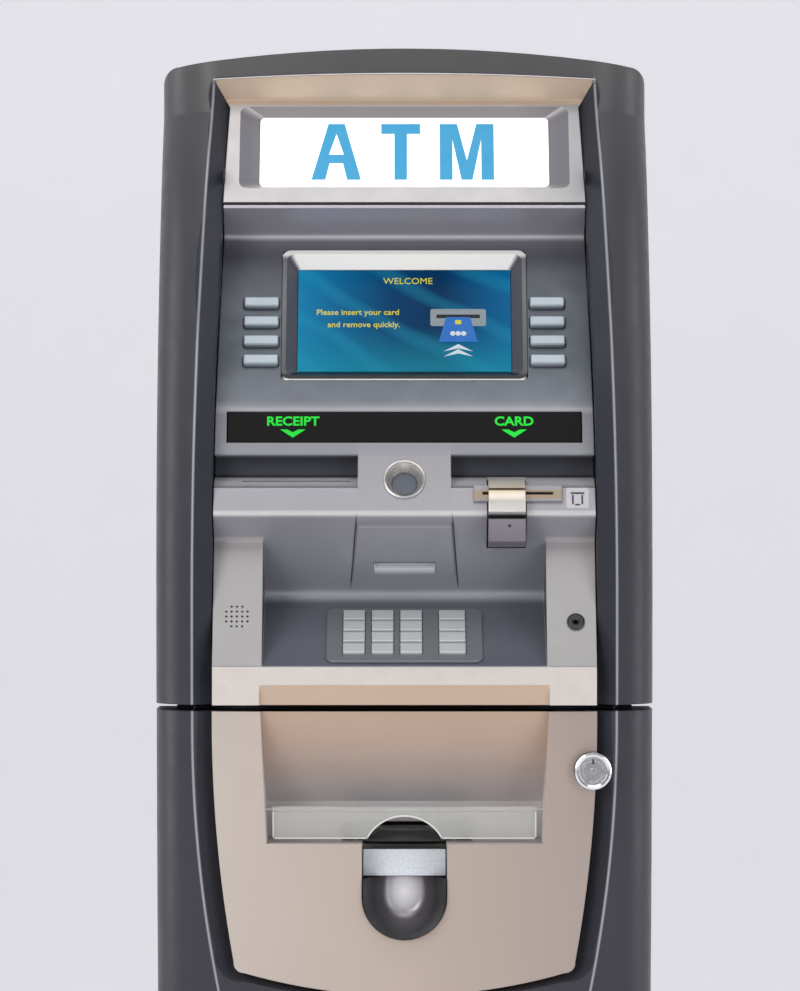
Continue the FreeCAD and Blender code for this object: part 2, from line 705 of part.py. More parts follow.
def fascia_panel():
    foot, groove, head = fascia_side()
    skin = D["skin"]
    wide, column = D["panel_w"] / 2 - D["fit_gap"], D["column_w"] / 2
    left = skin_solid(foot + groove + head, skin, -wide, -column + 1)
    right = skin_solid(foot + groove + head, skin, column - 1, wide)
    middle = skin_solid(foot + head, skin, -column, column)
    shape = left.fuse([right, middle])
    for x in (-column, column - skin):
        shape = shape.fuse(column_cheek(x))
    shape = shape.fuse(column_rib())
    low = D["upper_base"]
    ramp_stock = Part.makeBox(
        D["tray_w"] + 4, 11, D["tray_top_z"] + 4 - low, V(-D["tray_w"] / 2 - 2, D["lip_y"] + 0.5, low))
    shape = shape.fuse(ramp_stock)
    for side in (-1, 1):
        shape = shape.fuse(pillar(side))
    trim = upper_opening(-D["fit_gap"], -400, 0, D["upper_base"] - 1)
    shape = shape.common(trim)
    shape = cut_fascia_windows(shape)
    node(feature(solid_of(shape)), "fascia_panel")


def column_cheek(x):
    """Closes the step between the middle column and the groove beside it."""
    strip = math.tan(math.radians(D["strip_tilt"]))
    ledge_y, ledge_z = D["ledge_y"], D["ledge_z"]
    low, top = D["groove_low_z"] - 2, D["groove_top_z"] + 2
    deep = D["groove_deep"] + 4
    low_y, top_y = ledge_y + (low - ledge_z) * strip, ledge_y + (top - ledge_z) * strip
    points = [V(x, low_y + 0.3, low), V(x, top_y + 0.3, top), V(x, top_y + deep, top), V(x, low_y + deep, low)]
    return Part.Face(Part.makePolygon(points + points[:1])).extrude(V(D["skin"], 0, 0))


def column_rib():
    """The column carries on under the ledge as a shallow wedge that widens and fades out."""
    half = D["column_w"] / 2
    step = 5.0
    top = [on_panel(WALL, x, 92, step) for x in (-half, half)]
    low = [on_panel(WALL, x, 22, 0.0) for x in (-half - 4, half + 4)]
    face = Part.Face(Part.makePolygon([top[0], top[1], low[1], low[0], top[0]]))
    lean = math.radians(WALL_TILT)
    wedge = face.extrude(V(0, math.cos(lean), -math.sin(lean)) * 7)
    above = Part.makeBox(200, 100, 60, V(-100, -300, D["ledge_z"] - 0.6))
    return wedge.cut(above)


def pillar(side):
    """Raised cheek beside the keypad: a leaning face and an inner wall down to the shelf."""
    inner, outer = D["pillar_in"], D["panel_w"] / 2
    skin = D["skin"]
    length = (D["pillar_top_z"] - D["lip_z"]) / math.cos(math.radians(D["pillar_tilt"]))
    face = Part.makeBox(outer - inner, length - 0.6, skin)
    face.Placement = FreeCAD.Placement(on_panel(PILLAR, 0, 0.6, -skin), tilt_rotation(D["pillar_tilt"]))
    profile = [
        on_panel(PILLAR, 0, 0.6), on_panel(PILLAR, 0, length),
        V(0, D["fold_y"] + 4, D["fold_z"]), on_panel(SHELF, 0, 1, -1),
    ]
    wall = Part.Face(Part.makePolygon(profile + profile[:1])).extrude(V(skin, 0, 0))
    if side > 0:
        face.translate(V(inner, 0, 0))
        wall.translate(V(inner, 0, 0))
    else:
        face.translate(V(-outer, 0, 0))
        wall.translate(V(-inner - skin, 0, 0))
    return face.fuse(wall)


def window(panel, u, v, width, height, depth=40.0, radius=0.0):
    """A cutter that goes through a leaning panel."""
    block = Part.makeBox(width, height, depth, V(-width / 2, -height / 2, -depth / 2))
    if radius:
        edges = [e for e in block.Edges if abs(e.Vertexes[0].Z - e.Vertexes[-1].Z) > depth / 2]
        block = block.makeFillet(radius, edges)
    block.Placement = FreeCAD.Placement(on_panel(panel, u, v), tilt_rotation(panel[2]))
    return block


def bore_on(panel, u, v, radius, depth=40.0):
    """A round cutter that goes through a leaning panel."""
    drill = Part.makeCylinder(radius, depth, V(0, 0, -depth / 2))
    drill.Placement = FreeCAD.Placement(on_panel(panel, u, v), tilt_rotation(panel[2]))
    return drill


LCD_V = 88.9
STRIP_V = 77.5
CAMERA_V = 30.5
JACK_V = 39.0
SPEAKER_U, JACK_U = -135.5, 138.5
CARD_X = 83.0
CARD_SLOT_X = 92.0
PAD_V = 47.5


def softkey_places():
    """(name, u, v) of the eight keys beside the screen, four a side, from the top down."""
    names = []
    for side, sign in (("left", -1), ("right", 1)):
        for i in range(4):
            v = D["softkey_v"] + (3 - i) * D["softkey_pitch"]
            names.append((f"screen_key_{side}_{i + 1}", sign * D["softkey_x"], v))
    return names


def keypad_places():
    """(name, u, v, width) of the sixteen keypad keys."""
    faces = [
        ["1", "2", "3", "cancel"], ["4", "5", "6", "clear"],
        ["7", "8", "9", "enter"], ["left", "0", "right", "blank"],
    ]
    spots = []
    for row, names in enumerate(faces):
        v = PAD_V + D["key_row0_v"] - row * D["key_pitch_y"]
        for column, name in enumerate(names):
            last = column == 3
            u = -41.0 + column * D["key_pitch_x"] + (10.2 if last else 0)
            width = D["fkey_w"] if last else D["key_w"]
            spots.append((f"key_{name}", u, v, width))
    return spots


def cut_fascia_windows(shape):
    shape = shape.cut(window(SCREEN, 0, LCD_V, D["bezel_w"] - 6, D["bezel_h"] - 6))
    for _, u, v in softkey_places():
        shape = shape.cut(window(SCREEN, u, v, D["softkey_w"] + 1, D["softkey_h"] + 1, 20, 1.5))
    shape = shape.cut(window(STRIP, 0, STRIP_V, 290, 28, 16))
    shape = shape.cut(bore_on(STRIP, 0, CAMERA_V, 15.2, 30))
    shape = shape.cut(window(WALL, 0, 38, 50.5, 15.5, 20))
    shape = shape.cut(window(SHELF, 0, PAD_V, D["pad_w"] - 8, D["pad_h"] - 8, 30))
    shape = shape.cut(bore_on(PILLAR, JACK_U, JACK_V, 5.2, 20))
    for x, z in speaker_holes():
        shape = shape.cut(bore_on(PILLAR, SPEAKER_U + x, JACK_V + 5 + z, 0.85, 14))
    receipt = Part.makeBox(88, 30, 3.2, V(-132, -262, 1058.4))
    receipt.rotate(V(0, -240, 1060), V(1, 0, 0), -35)
    shape = shape.cut(receipt)
    nose_room = Part.makeBox(32, 40, 59, V(CARD_X - 16, -266, 1003))
    slot = window(STRIP, CARD_SLOT_X, 17.5, 58, 3.0, 40)
    shape = shape.cut(nose_room).cut(slot)
    width, low = D["tray_w"], D["upper_base"] - 1
    ramp = [
        V(-width / 2, D["lip_y"] + 7, low), V(-width / 2, D["lip_y"] - 1, D["tray_top_z"]),
        V(-width / 2, D["lip_y"] - 5, low),
    ]
    return shape.cut(Part.Face(Part.makePolygon(ramp + ramp[:1])).extrude(V(width, 0, 0)))


def speaker_holes():
    """Twenty-one holes: rows of three, five, five, five and three."""
    pitch_x, pitch_z = 4.3, 4.3
    spots = []
    for row, count in enumerate((3, 5, 5, 5, 3)):
        for i in range(count):
            spots.append(((i - (count - 1) / 2) * pitch_x, (2 - row) * pitch_z))
    return spots


def sign_frame():
    """Lit sign's surround: an upper cap that meets the hood, and a deep bevelled frame."""
    skin, half = D["skin"], D["panel_w"] / 2
    length = D["sign_len"]
    cap_y = lean_y(1400) + 3
    corners = [
        (D["sign_y"], D["sign_z"], 0),
        (on_panel(SIGN, 0, length).y, on_panel(SIGN, 0, length).z, 1.5), (cap_y, 1400, 0),
    ]
    shape = skin_solid(corners, skin, -half - 5, half + 5)
    shape = shape.fuse(sign_well())
    trim = upper_opening(-D["fit_gap"] * 0.2, -400, 0, D["upper_base"] - 1)
    shape = shape.common(trim)
    opening = frustum(SIGN, D["lens_v"], D["lens_w"] + 36, D["lens_h"] + 14, D["lens_w"], D["lens_h"],
                      D["lens_sink"])
    shape = shape.cut(opening).cut(window(SIGN, 0, D["lens_v"], D["lens_w"], D["lens_h"], 60, 4))
    node(feature(solid_of(shape)), "sign_frame")


def sign_well():
    """Solid stock behind the sign's front skin, from which the bevelled opening is cut."""
    return frustum(SIGN, D["lens_v"], D["lens_w"] + 41, D["lens_h"] + 19,
                   D["lens_w"] + 6, D["lens_h"] + 6, D["lens_sink"], start=-1.0)


def frustum(panel, v, wide, high, wide_in, high_in, depth, start=0.5):
    """A funnel from a wide rounded rectangle on the panel to a smaller one behind it."""
    wires = []
    for w, width, height, radius in ((start, wide, high, 7.0), (-depth, wide_in, high_in, 4.0)):
        block = Part.makeBox(width, height, 1, V(-width / 2, -height / 2, 0))
        edges = [e for e in block.Edges if abs(e.Vertexes[0].Z - e.Vertexes[-1].Z) > 0.5]
        top = [f for f in block.makeFillet(radius, edges).Faces if abs(f.CenterOfMass.z - 1) < 1e-6][0]
        wire = top.OuterWire
        wire.translate(V(0, 0, w - 1))
        wires.append(wire)
    solid = Part.makeLoft(wires, True, True)
    solid.Placement = FreeCAD.Placement(on_panel(panel, 0, v), tilt_rotation(panel[2]))
    return solid


def screen_bezel():
    """Sunken picture-frame round the display."""
    wide, high = D["bezel_w"], D["bezel_h"]
    flange = frustum(SCREEN, LCD_V, wide - 1, high - 1, wide, high, -0.05, 1.6)
    stock = frustum(SCREEN, LCD_V, wide - 6.8, high - 6.8, D["lcd_w"] + 6, D["lcd_h"] + 6, D["lcd_sink"])
    shape = flange.fuse(stock)
    shape = shape.cut(frustum(SCREEN, LCD_V, wide - 8, high - 8, D["lcd_w"], D["lcd_h"], D["lcd_sink"], 1.65))
    shape = shape.cut(window(SCREEN, 0, LCD_V, D["lcd_w"], D["lcd_h"], 60))
    node(feature(solid_of(shape)), "screen_bezel")


# ---------------------------------------------------------------- parts on the head door

def head_door_parts():
    lens = stand(pad(rect("lens_w + 8", "lens_h + 8"), 3), SIGN, 0, D["lens_v"], -D["lens_sink"] - 3)
    node(lens, "sign_lens")
    light = pad(rect("lens_w + 20", "lens_h + 16"), 12)
    pocket(light, rect("lens_w + 14", "lens_h + 10"), 10, offset=12)
    node(stand(light, SIGN, 0, D["lens_v"], -D["lens_sink"] - 16), "sign_lightbox")

    lcd = pad(rect("lcd_w + 16", "lcd_h + 14"), 9)
    soften(lcd, 2, lambda e: abs(e.Vertexes[0].Z - e.Vertexes[-1].Z) > 5)
    node(stand(lcd, SCREEN, 0, LCD_V, -D["lcd_sink"] - 9.2), "lcd_module")

    strip = pad(rect(289, 27), 3)
    soften(strip, 0.8, lambda e: min(v.Z for v in e.Vertexes) > 2.9)
    node(stand(strip, STRIP, 0, STRIP_V, -3.4), "guide_strip")

    camera_port()
    lamp = pad(rect(50, 15), 8)
    pocket(lamp, rect(48, 8, v=3), 4, offset=8)
    node(stand(lamp, WALL, 0, 38, -8), "keypad_lamp")

    plate = pad(rect("pad_w", "pad_h"), 2)
    soften(plate, 7, lambda e: abs(e.Vertexes[0].Z - e.Vertexes[-1].Z) > 1.5)
    soften(plate, 0.8, lambda e: min(v.Z for v in e.Vertexes) > 1.95)
    for _, u, v, width in keypad_places():
        pocket(plate, rect(width + 0.8, "key_h + 0.8", u, v - PAD_V), 4, offset=3)
    well = box("-pad_w/2 + 5", "-pad_h/2 + 5", -12, "pad_w - 10", "pad_h - 10", 12.2)
    wells = [
        box(u - width / 2 - 0.4, v - PAD_V - (D["key_h"] + 0.8) / 2, -8, width + 0.8, "key_h + 0.8", 12)
        for _, u, v, width in keypad_places()
    ]
    epp = fuse(plate, cut(well, *wells))
    doc.recompute()
    node(stand(epp, SHELF, 0, PAD_V, 0.2), "keypad_plate")

    for name, u, v in softkey_places():
        cap = pad(rect("softkey_w", "softkey_h"), "softkey_rise + 7")
        soften(cap, 2, lambda e: abs(e.Vertexes[0].Z - e.Vertexes[-1].Z) > 4)
        soften(cap, 1.6, lambda e: min(w.Z for w in e.Vertexes) > D["softkey_rise"] + 6.9)
        node(stand(cap, SCREEN, u, v, -7), name)
    for name, u, v, width in keypad_places():
        cap = pad(rect(width, "key_h"), "key_rise + 4")
        soften(cap, 1, lambda e: abs(e.Vertexes[0].Z - e.Vertexes[-1].Z) > 4)
        soften(cap, 0.8, lambda e: min(w.Z for w in e.Vertexes) > D["key_rise"] + 3.9)
        node(stand(cap, SHELF, u, v, -3.6), name)


def camera_port():
    """Flared ring sunk in the column, with a dark window at its foot."""
    ring = turned([
        (10.2, -12), (15, -12), (15, 0.05), (17, 0.05), (17, 1.2), (15.6, 1.6), (10.2, -9),
    ])
    glass = turned([(0, -14), (12, -14), (12, -12.1), (10, -12.1), (10, -10), (0, -9.4)])
    lens = turned([(0, -30), (9, -30), (9, -14.1), (0, -14.1)])
    pieces = group(ring, glass, lens)
    doc.recompute()
    node(stand(pieces, STRIP, 0, CAMERA_V), "camera_port")


def card_bezel():
    """Nose over the card slot: a rolled guide above, a plain block below, and flared slot lips."""
    width, skin = 30.0, 3.0
    profile = [
        V(0, -236, 1059), V(0, -248, 1060), V(0, -262, 1054), V(0, -271, 1042), V(0, -273, 1033),
        V(0, -268, 1030.5), V(0, -268, 1028.5), V(0, -272, 1027), V(0, -270, 1009), V(0, -262, 1004),
        V(0, -236, 1004),
    ]
    upper = [
        line(profile[0], profile[1]), arc3(profile[1], profile[2], profile[3]), line(profile[3], profile[4]),
        line(profile[4], profile[5]), line(profile[5], profile[6]), line(profile[6], profile[7]),
        line(profile[7], profile[8]), line(profile[8], profile[9]), line(profile[9], profile[10]),
        line(profile[10], profile[0]),
    ]
    face = Part.Face(Part.Wire(upper))
    face.translate(V(CARD_X - width / 2, 0, 0))
    nose = face.extrude(V(width, 0, 0))
    hollow = Part.makeBox(width - 2 * skin, 24, 50, V(CARD_X - width / 2 + skin, -258, 1000))
    nose = nose.cut(hollow.cut(Part.makeBox(60, 60, 3, V(CARD_X - 30, -290, 1040))))
    lips = Part.makeBox(72, 14, 2.2, V(-36, -7, 0.05))
    lips.Placement = FreeCAD.Placement(on_panel(STRIP, CARD_SLOT_X, 17.5), tilt_rotation(D["strip_tilt"]))
    slot = window(STRIP, CARD_SLOT_X, 17.5, 57, 2.4, 90)
    shape = nose.fuse(lips).cut(slot)
    node(feature(solid_of(shape)), "card_bezel")


def reader_and_printer():
    """Card reader body and receipt printer, both carried on the back of the head door."""
    body = Part.makeBox(76, 34, 63, V(-38, -17, -92))
    body.Placement = FreeCAD.Placement(on_panel(STRIP, CARD_SLOT_X, 17.5), tilt_rotation(D["strip_tilt"]))
    slot = window(STRIP, CARD_SLOT_X, 17.5, 57, 2.4, 170)
    node(feature(body.cut(slot)), "card_reader")

    side = [
        box(x, -204, 1040, 3, 120, 92) for x in (-134, -55)
    ]
    bed = box(-131.5, -204, 1040, 77, 120, 3)
    head = box(-131.5, -204, 1043, 77, 22, 10)
    cross = rod(-131.5, -100, 1125, "x", 3, 77)
    spindle = rod(-131.5, -140, 1086, "x", 3.95, 77)
    node(fuse(*side, bed, head, cross, spindle), "receipt_printer")

    paper = turned([
        (4, -37.5), (6.5, -37.5), (6.5, -28), (36, -28), (36, 28), (6.5, 28), (6.5, 37.5), (4, 37.5),
    ])
    paper.Placement = FreeCAD.Placement(V(-93, -140, 1086), FreeCAD.Rotation(V(0, 1, 0), 90))
    node(paper, "paper_roll")


def audio_parts():
    speaker = turned([
        (0, -16), (9, -16), (9, -10), (15, -6), (17, -6), (17, -4.2), (13.5, -4.2), (8, -8), (0, -8),
    ])
    node(stand(speaker, PILLAR, SPEAKER_U, JACK_V + 5), "speaker")
    jack = turned([
        (1.8, -14), (5, -14), (5, 0), (7.2, 0), (7.2, 1.4), (5.6, 2.4), (3.4, 2.4), (1.8, 1.0),
    ])
    node(stand(jack, PILLAR, JACK_U, JACK_V), "headphone_jack")


def head_door_frame():
    """Steel frame behind the upper shell that carries its hinges and the lock's strike side."""
    low, top = D["upper_base"] + 8, 1388
    back = D["head_hinge_y"] - 0.5
    reach = D["shell_w"] / 2 - 3.8
    outer = Part.makeBox(363, 2, top - low, V(-180, back - 4, low))
    hole = Part.makeBox(322, 4, top - low - 44, V(-161, back - 5, low + 22))
    shape = outer.cut(hole)
    for x in (-180, 181):
        shape = shape.fuse(Part.makeBox(2, 20, top - low, V(x, back - 22, low)))
    for x, end in ((-reach, -178), (181, reach)):
        shape = shape.fuse(Part.makeBox(end - x, 2, top - low - 30, V(x, back - 22, low + 15)))
    for z in HEAD_HINGES:
        shape = shape.fuse(leaf(D["head_hinge_y"], z + LEAF_STEP, False, -150, back - 4, 4))
    slot = Part.makeBox(20, 30, 44, V(170, back - 16, 1088))
    node(feature(solid_of(shape.cut(slot))), "head_door_frame")


def head_lock():
    """Keyed plug in the upper shell's right side, with its cam inside."""
    end = D["shell_w"] / 2 - 2
    face = Part.makeCylinder(9.4, 4, V(end - 4, HEAD_LOCK_Y, 1110), V(1, 0, 0))
    face = face.fuse(Part.makeCylinder(7, 22, V(end - 22, HEAD_LOCK_Y, 1110), V(1, 0, 0)))
    face = face.cut(Part.makeBox(4, 2, 8, V(end - 2.5, HEAD_LOCK_Y - 1, 1106)))
    cam = Part.makeBox(3, 14, 28, V(end - 25, HEAD_LOCK_Y - 7, 1103))
    cam = cam.fuse(Part.makeCylinder(7, 4, V(end - 25, HEAD_LOCK_Y, 1110), V(1, 0, 0)))
    node(feature(solid_of(face.fuse(cam))), "head_lock")


# ---------------------------------------------------------------- lower cover parts

def front_shield():
    """Light shield-shaped front panel: curved skin with a rim that reaches into the shell."""
    inside = prism_y(shield_edges(0, 0), -400, -100)
    top = D["lower_top"] - 0.2
    stock = lower_slab(-1.0, 14.0, top)
    shape = stock.common(inside)
    core = prism_y(shield_edges(-D["skin"], -3), -400, -100).common(lower_slab(2.0, 60.0, top - D["skin"]))
    shape = shape.cut(core)
    shape = shape.cut(tray_mouth(0.4)).cut(pocket_prism(0.4, -400, -100))
    wall_room = D["tray_w"] / 2 + 2.9
    shape = shape.cut(Part.makeBox(2 * wall_room, 60, 6, V(-wall_room, -275.2, top - 5)))
    shape = shape.cut(Part.makeCylinder(15.2, 80, V(LOCK_X, -300, LOCK_Z), V(0, 1, 0)))
    node(feature(solid_of(shape)), "front_shield")


def lower_slab(front, back, top):
    """Stock that follows the bowed lower front surface, from front to back of it."""
    half, bow = 190.0, D["lower_bow"]
    solids = []
    for shift in (front, back):
        wires = []
        for z in (600, D["knee_z"], 740, 810, top):
            y = lower_front(z) + shift
            sag = bow - math.sqrt(bow ** 2 - half ** 2)
            left, right = V(-half, y + sag, z), V(half, y + sag, z)
            rear_left, rear_right = V(-half, -60, z), V(half, -60, z)
            wires.append(Part.Wire([
                arc3(left, V(0, y, z), right), line(right, rear_right), line(rear_right, rear_left),
                line(rear_left, left),
            ]))
        solids.append(Part.makeLoft(wires, True, False))
    return solids[0].cut(solids[1])


def tray_outline(grow):
    top, low = D["tray_w"] / 2 + grow, D["tray_low_w"] / 2 + grow
    floor = D["tray_floor_z"] - grow
    return [V(-top, 0, 900), V(top, 0, 900), V(low, 0, floor), V(-low, 0, floor)]


def tray_mouth(grow, y_low=-400.0, y_high=-100.0):
    corners = tray_outline(grow)
    edges = [line(corners[i], corners[(i + 1) % 4]) for i in range(4)]
    return prism_y(edges, y_low, y_high)


def pocket_prism(grow, y_low, y_high):
    """The finger pocket's outline: straight sides over a half round."""
    half = D["pocket_w"] / 2 + grow
    centre = D["pocket_low_z"] + D["pocket_w"] / 2
    low = V(0, 0, centre - half)
    top = D["tray_floor_z"] + 8
    edges = [
        line(V(-half, 0, top), V(half, 0, top)), line(V(half, 0, top), V(half, 0, centre)),
        arc3(V(half, 0, centre), low, V(-half, 0, centre)), line(V(-half, 0, centre), V(-half, 0, top)),
    ]
    return prism_y(edges, y_low, y_high)


def cash_tray():
    """Tray behind the shield: a ramp that runs in and down, side walls, floor, and the finger pocket."""
    wall, top = 2.5, D["lower_top"] - 0.3
    floor, back = D["tray_floor_z"], D["tray_back_y"]
    mouth_front = lower_front(top) + 8.0

    ramp = [V(0, mouth_front, top), V(0, -252, 838), V(0, -216, 796)]
    low = floor
    room = Part.Face(Part.Wire([
        arc3(ramp[0], ramp[1], ramp[2]), line(ramp[2], V(0, back, low)),
        line(V(0, back, low), V(0, -300, low)),
        line(V(0, -300, low), V(0, -300, top + 5)), line(V(0, -300, top + 5), V(0, ramp[0].y - 1, top + 5)),
        line(V(0, ramp[0].y - 1, top + 5), ramp[0]),
    ]))
    room.translate(V(-150, 0, 0))
    room = room.extrude(V(300, 0, 0)).common(tray_mouth(0))
    cup = pocket_prism(0, -320, D["pocket_back_y"])
    room_all = room.fuse(cup)
    stock_tray = Part.makeBox(
        D["tray_w"] + 2 * wall, back + wall + 284, top - low + wall,
        V(-D["tray_w"] / 2 - wall, -284, low - wall)).common(tray_mouth(wall))
    stock_cup = pocket_prism(wall, -262, D["pocket_back_y"] + wall)
    front_trim = lower_slab(2.4, 90.0, top)
    shape = stock_tray.fuse(stock_cup).common(front_trim)
    shape = shape.cut(room_all)
    upper_block = Part.Face(Part.Wire([
        arc3(ramp[0] + V(0, wall, 0), ramp[1] + V(0, wall, 0), ramp[2] + V(0, wall, 0)),
        line(ramp[2] + V(0, wall, 0), V(0, back + wall, low)),
        line(V(0, back + wall, low), V(0, back + 40, low)),
        line(V(0, back + 40, low), V(0, back + 40, top + 5)),
        line(V(0, back + 40, top + 5), V(0, ramp[0].y + wall, top + 5)),
        line(V(0, ramp[0].y + wall, top + 5), ramp[0] + V(0, wall, 0)),
    ]))
    upper_block.translate(V(-200, 0, 0))
    shape = shape.cut(upper_block.extrude(V(400, 0, 0)))
    half_mouth = D["mouth_w"] / 2
    notch = Part.makeBox(
        2 * half_mouth + 22, 60, D["mouth_h"] + 8,
        V(-half_mouth - 9, back - 30, D["mouth_z"] - 4))
    shape = shape.cut(notch)
    pin_holes = Part.makeCylinder(
        D["guard_pin_r"] + D["pin_play"], 300, V(-150, GUARD_Y, GUARD_Z), V(1, 0, 0))
    shape = shape.cut(pin_holes)
    node(feature(solid_of(shape)), "cash_tray")


def note_guard():
    """Clear flap that hangs across the front of the tray on two end pins."""
    width, thick, low_z = 214.0, 2.5, D["tray_floor_z"] + 3
    plate = Part.makeBox(width, thick, GUARD_Z - low_z, V(-width / 2, GUARD_Y - thick / 2, low_z))
    arch = Part.makeCylinder(34, 20, V(0, GUARD_Y - 8, low_z - 16), V(0, 1, 0))
    plate = plate.cut(arch)
    bead = Part.makeCylinder(2.5, width, V(-width / 2, GUARD_Y, GUARD_Z), V(1, 0, 0))
    reach = width / 2 + 7
    pins = Part.makeCylinder(D["guard_pin_r"], 2 * reach, V(-reach, GUARD_Y, GUARD_Z), V(1, 0, 0))
    node(feature(solid_of(plate.fuse([bead, pins]))), "note_guard")


def cover_lock():
    """Barrel lock on the shield's right edge: a stepped ring, and a keyed plug with a cam behind."""
    front = lower_front(LOCK_Z) - 1
    barrel = turned([
        (9.7, -20), (13, -20), (13, 0), (15, 0), (15, 2.4), (13.4, 3.0), (11.4, 1.4), (9.7, 1.4),
    ])
    barrel.Placement = FreeCAD.Placement(V(LOCK_X, front, LOCK_Z), FreeCAD.Rotation(V(1, 0, 0), 90))
    node(barrel, "cover_lock_barrel")
    plug = Part.makeCylinder(9.6, 22, V(0, 0, -21)).fuse(Part.makeCylinder(5, 20, V(0, 0, -38)))
    plug = plug.cut(Part.makeCylinder(8.2, 1, V(0, 0, 0.4)).cut(Part.makeCylinder(2.2, 1, V(0, 0, 0.4))))
    plug = plug.cut(Part.makeBox(0.9, 3, 4, V(-0.45, -1.5, -2)))
    cam = Part.makeBox(12, 34, 3, V(-6, -6, -38))
    piece = feature(solid_of(plug.fuse(cam)))
    piece.Placement = FreeCAD.Placement(V(LOCK_X, front, LOCK_Z), FreeCAD.Rotation(V(1, 0, 0), 90))
    node(piece, "cover_lock_plug")


# ---------------------------------------------------------------- safe door

def vault_door():
    front = "safe_front - door_proud"
    plate = box("-door_w/2", front, "door_low_z", "door_w", "door_thick", "door_top_z - door_low_z")
    holes = [
        box("-mouth_w/2 - 14", "safe_front - 10", "mouth_z - 7", "mouth_w + 28", 40, "mouth_h + 14"),
        rod("lock_x", "safe_front - 10", "handle_z", "y", 7.1, 40),
        rod("lock_x", "safe_front - 10", "dial_z", "y", 5.1, 40),
    ]
    case = box("lock_x - 30", "safe_front - door_proud + door_thick - 0.5", "dial_z - 42", 60, 30, 84)
    bores = [rod("lock_x", "safe_front", "dial_z", "y", 5.1, 60)]
    guides = [
        cut(
            box("door_w/2 - 28", "safe_front - door_proud + door_thick - 0.5", z - 16, 16, 32, 32),
            rod("door_w/2 - 40", "bolt_y", z, "x", "bolt_r + 0.3", 40),
        )
        for z in BOLT_HEIGHTS
    ]
    straps = []
    for z in SAFE_HINGES:
        straps.append(feature(leaf(
            D["safe_hinge_y"], z + LEAF_STEP, False, -110, D["safe_front"] - D["door_proud"] - 5, 5.2)))
    for z in COVER_HINGES:
        straps.append(feature(leaf(
            D["safe_hinge_y"], z, True, -110, D["safe_front"] - D["door_proud"] - 5, 5.2)))
    node(fuse(cut(plate, *holes), cut(case, *bores), *guides, *straps), "vault_door")


def bolt_work():
    bolts = [rod("door_w/2 - 50", "bolt_y", z, "x", "bolt_r", 53) for z in BOLT_HEIGHTS]
    low, high = BOLT_HEIGHTS[0] - 14, BOLT_HEIGHTS[-1] + 14
    bar = box("door_w/2 - 62", "bolt_y - 8", low, 14, 16, high - low)
    node(fuse(bar, *bolts), "lock_bolts")

    front = D["safe_front"] - D["door_proud"]
    spindle = Part.makeCylinder(7, 46, V(D["lock_x"], front - 22, D["handle_z"]), V(0, 1, 0))
    hub = Part.makeCylinder(15, 12, V(D["lock_x"], front - 14, D["handle_z"]), V(0, 1, 0))
    lever = Part.makeBox(90, 10, 16, V(D["lock_x"] - 82, front - 24, D["handle_z"] - 8))
    lever = lever.makeFillet(4, [e for e in lever.Edges if e.BoundBox.XLength > 50])
    crank = Part.makeBox(10, 4, 12, V(D["lock_x"] - 5, front + 20, D["handle_z"] - 6))
    node(feature(solid_of(hub.fuse([spindle, lever, crank]))), "bolt_handle")

    dial = turned([
        (0, -38), (4.8, -38), (4.8, 0.4), (30, 0.4), (31, 2), (31, 6), (24, 9), (14, 10), (13, 22),
        (11, 24), (0, 24),
    ])
    dial.Placement = FreeCAD.Placement(V(D["lock_x"], front, D["dial_z"]), FreeCAD.Rotation(V(1, 0, 0), 90))
    node(dial, "lock_dial")


# ---------------------------------------------------------------- inside

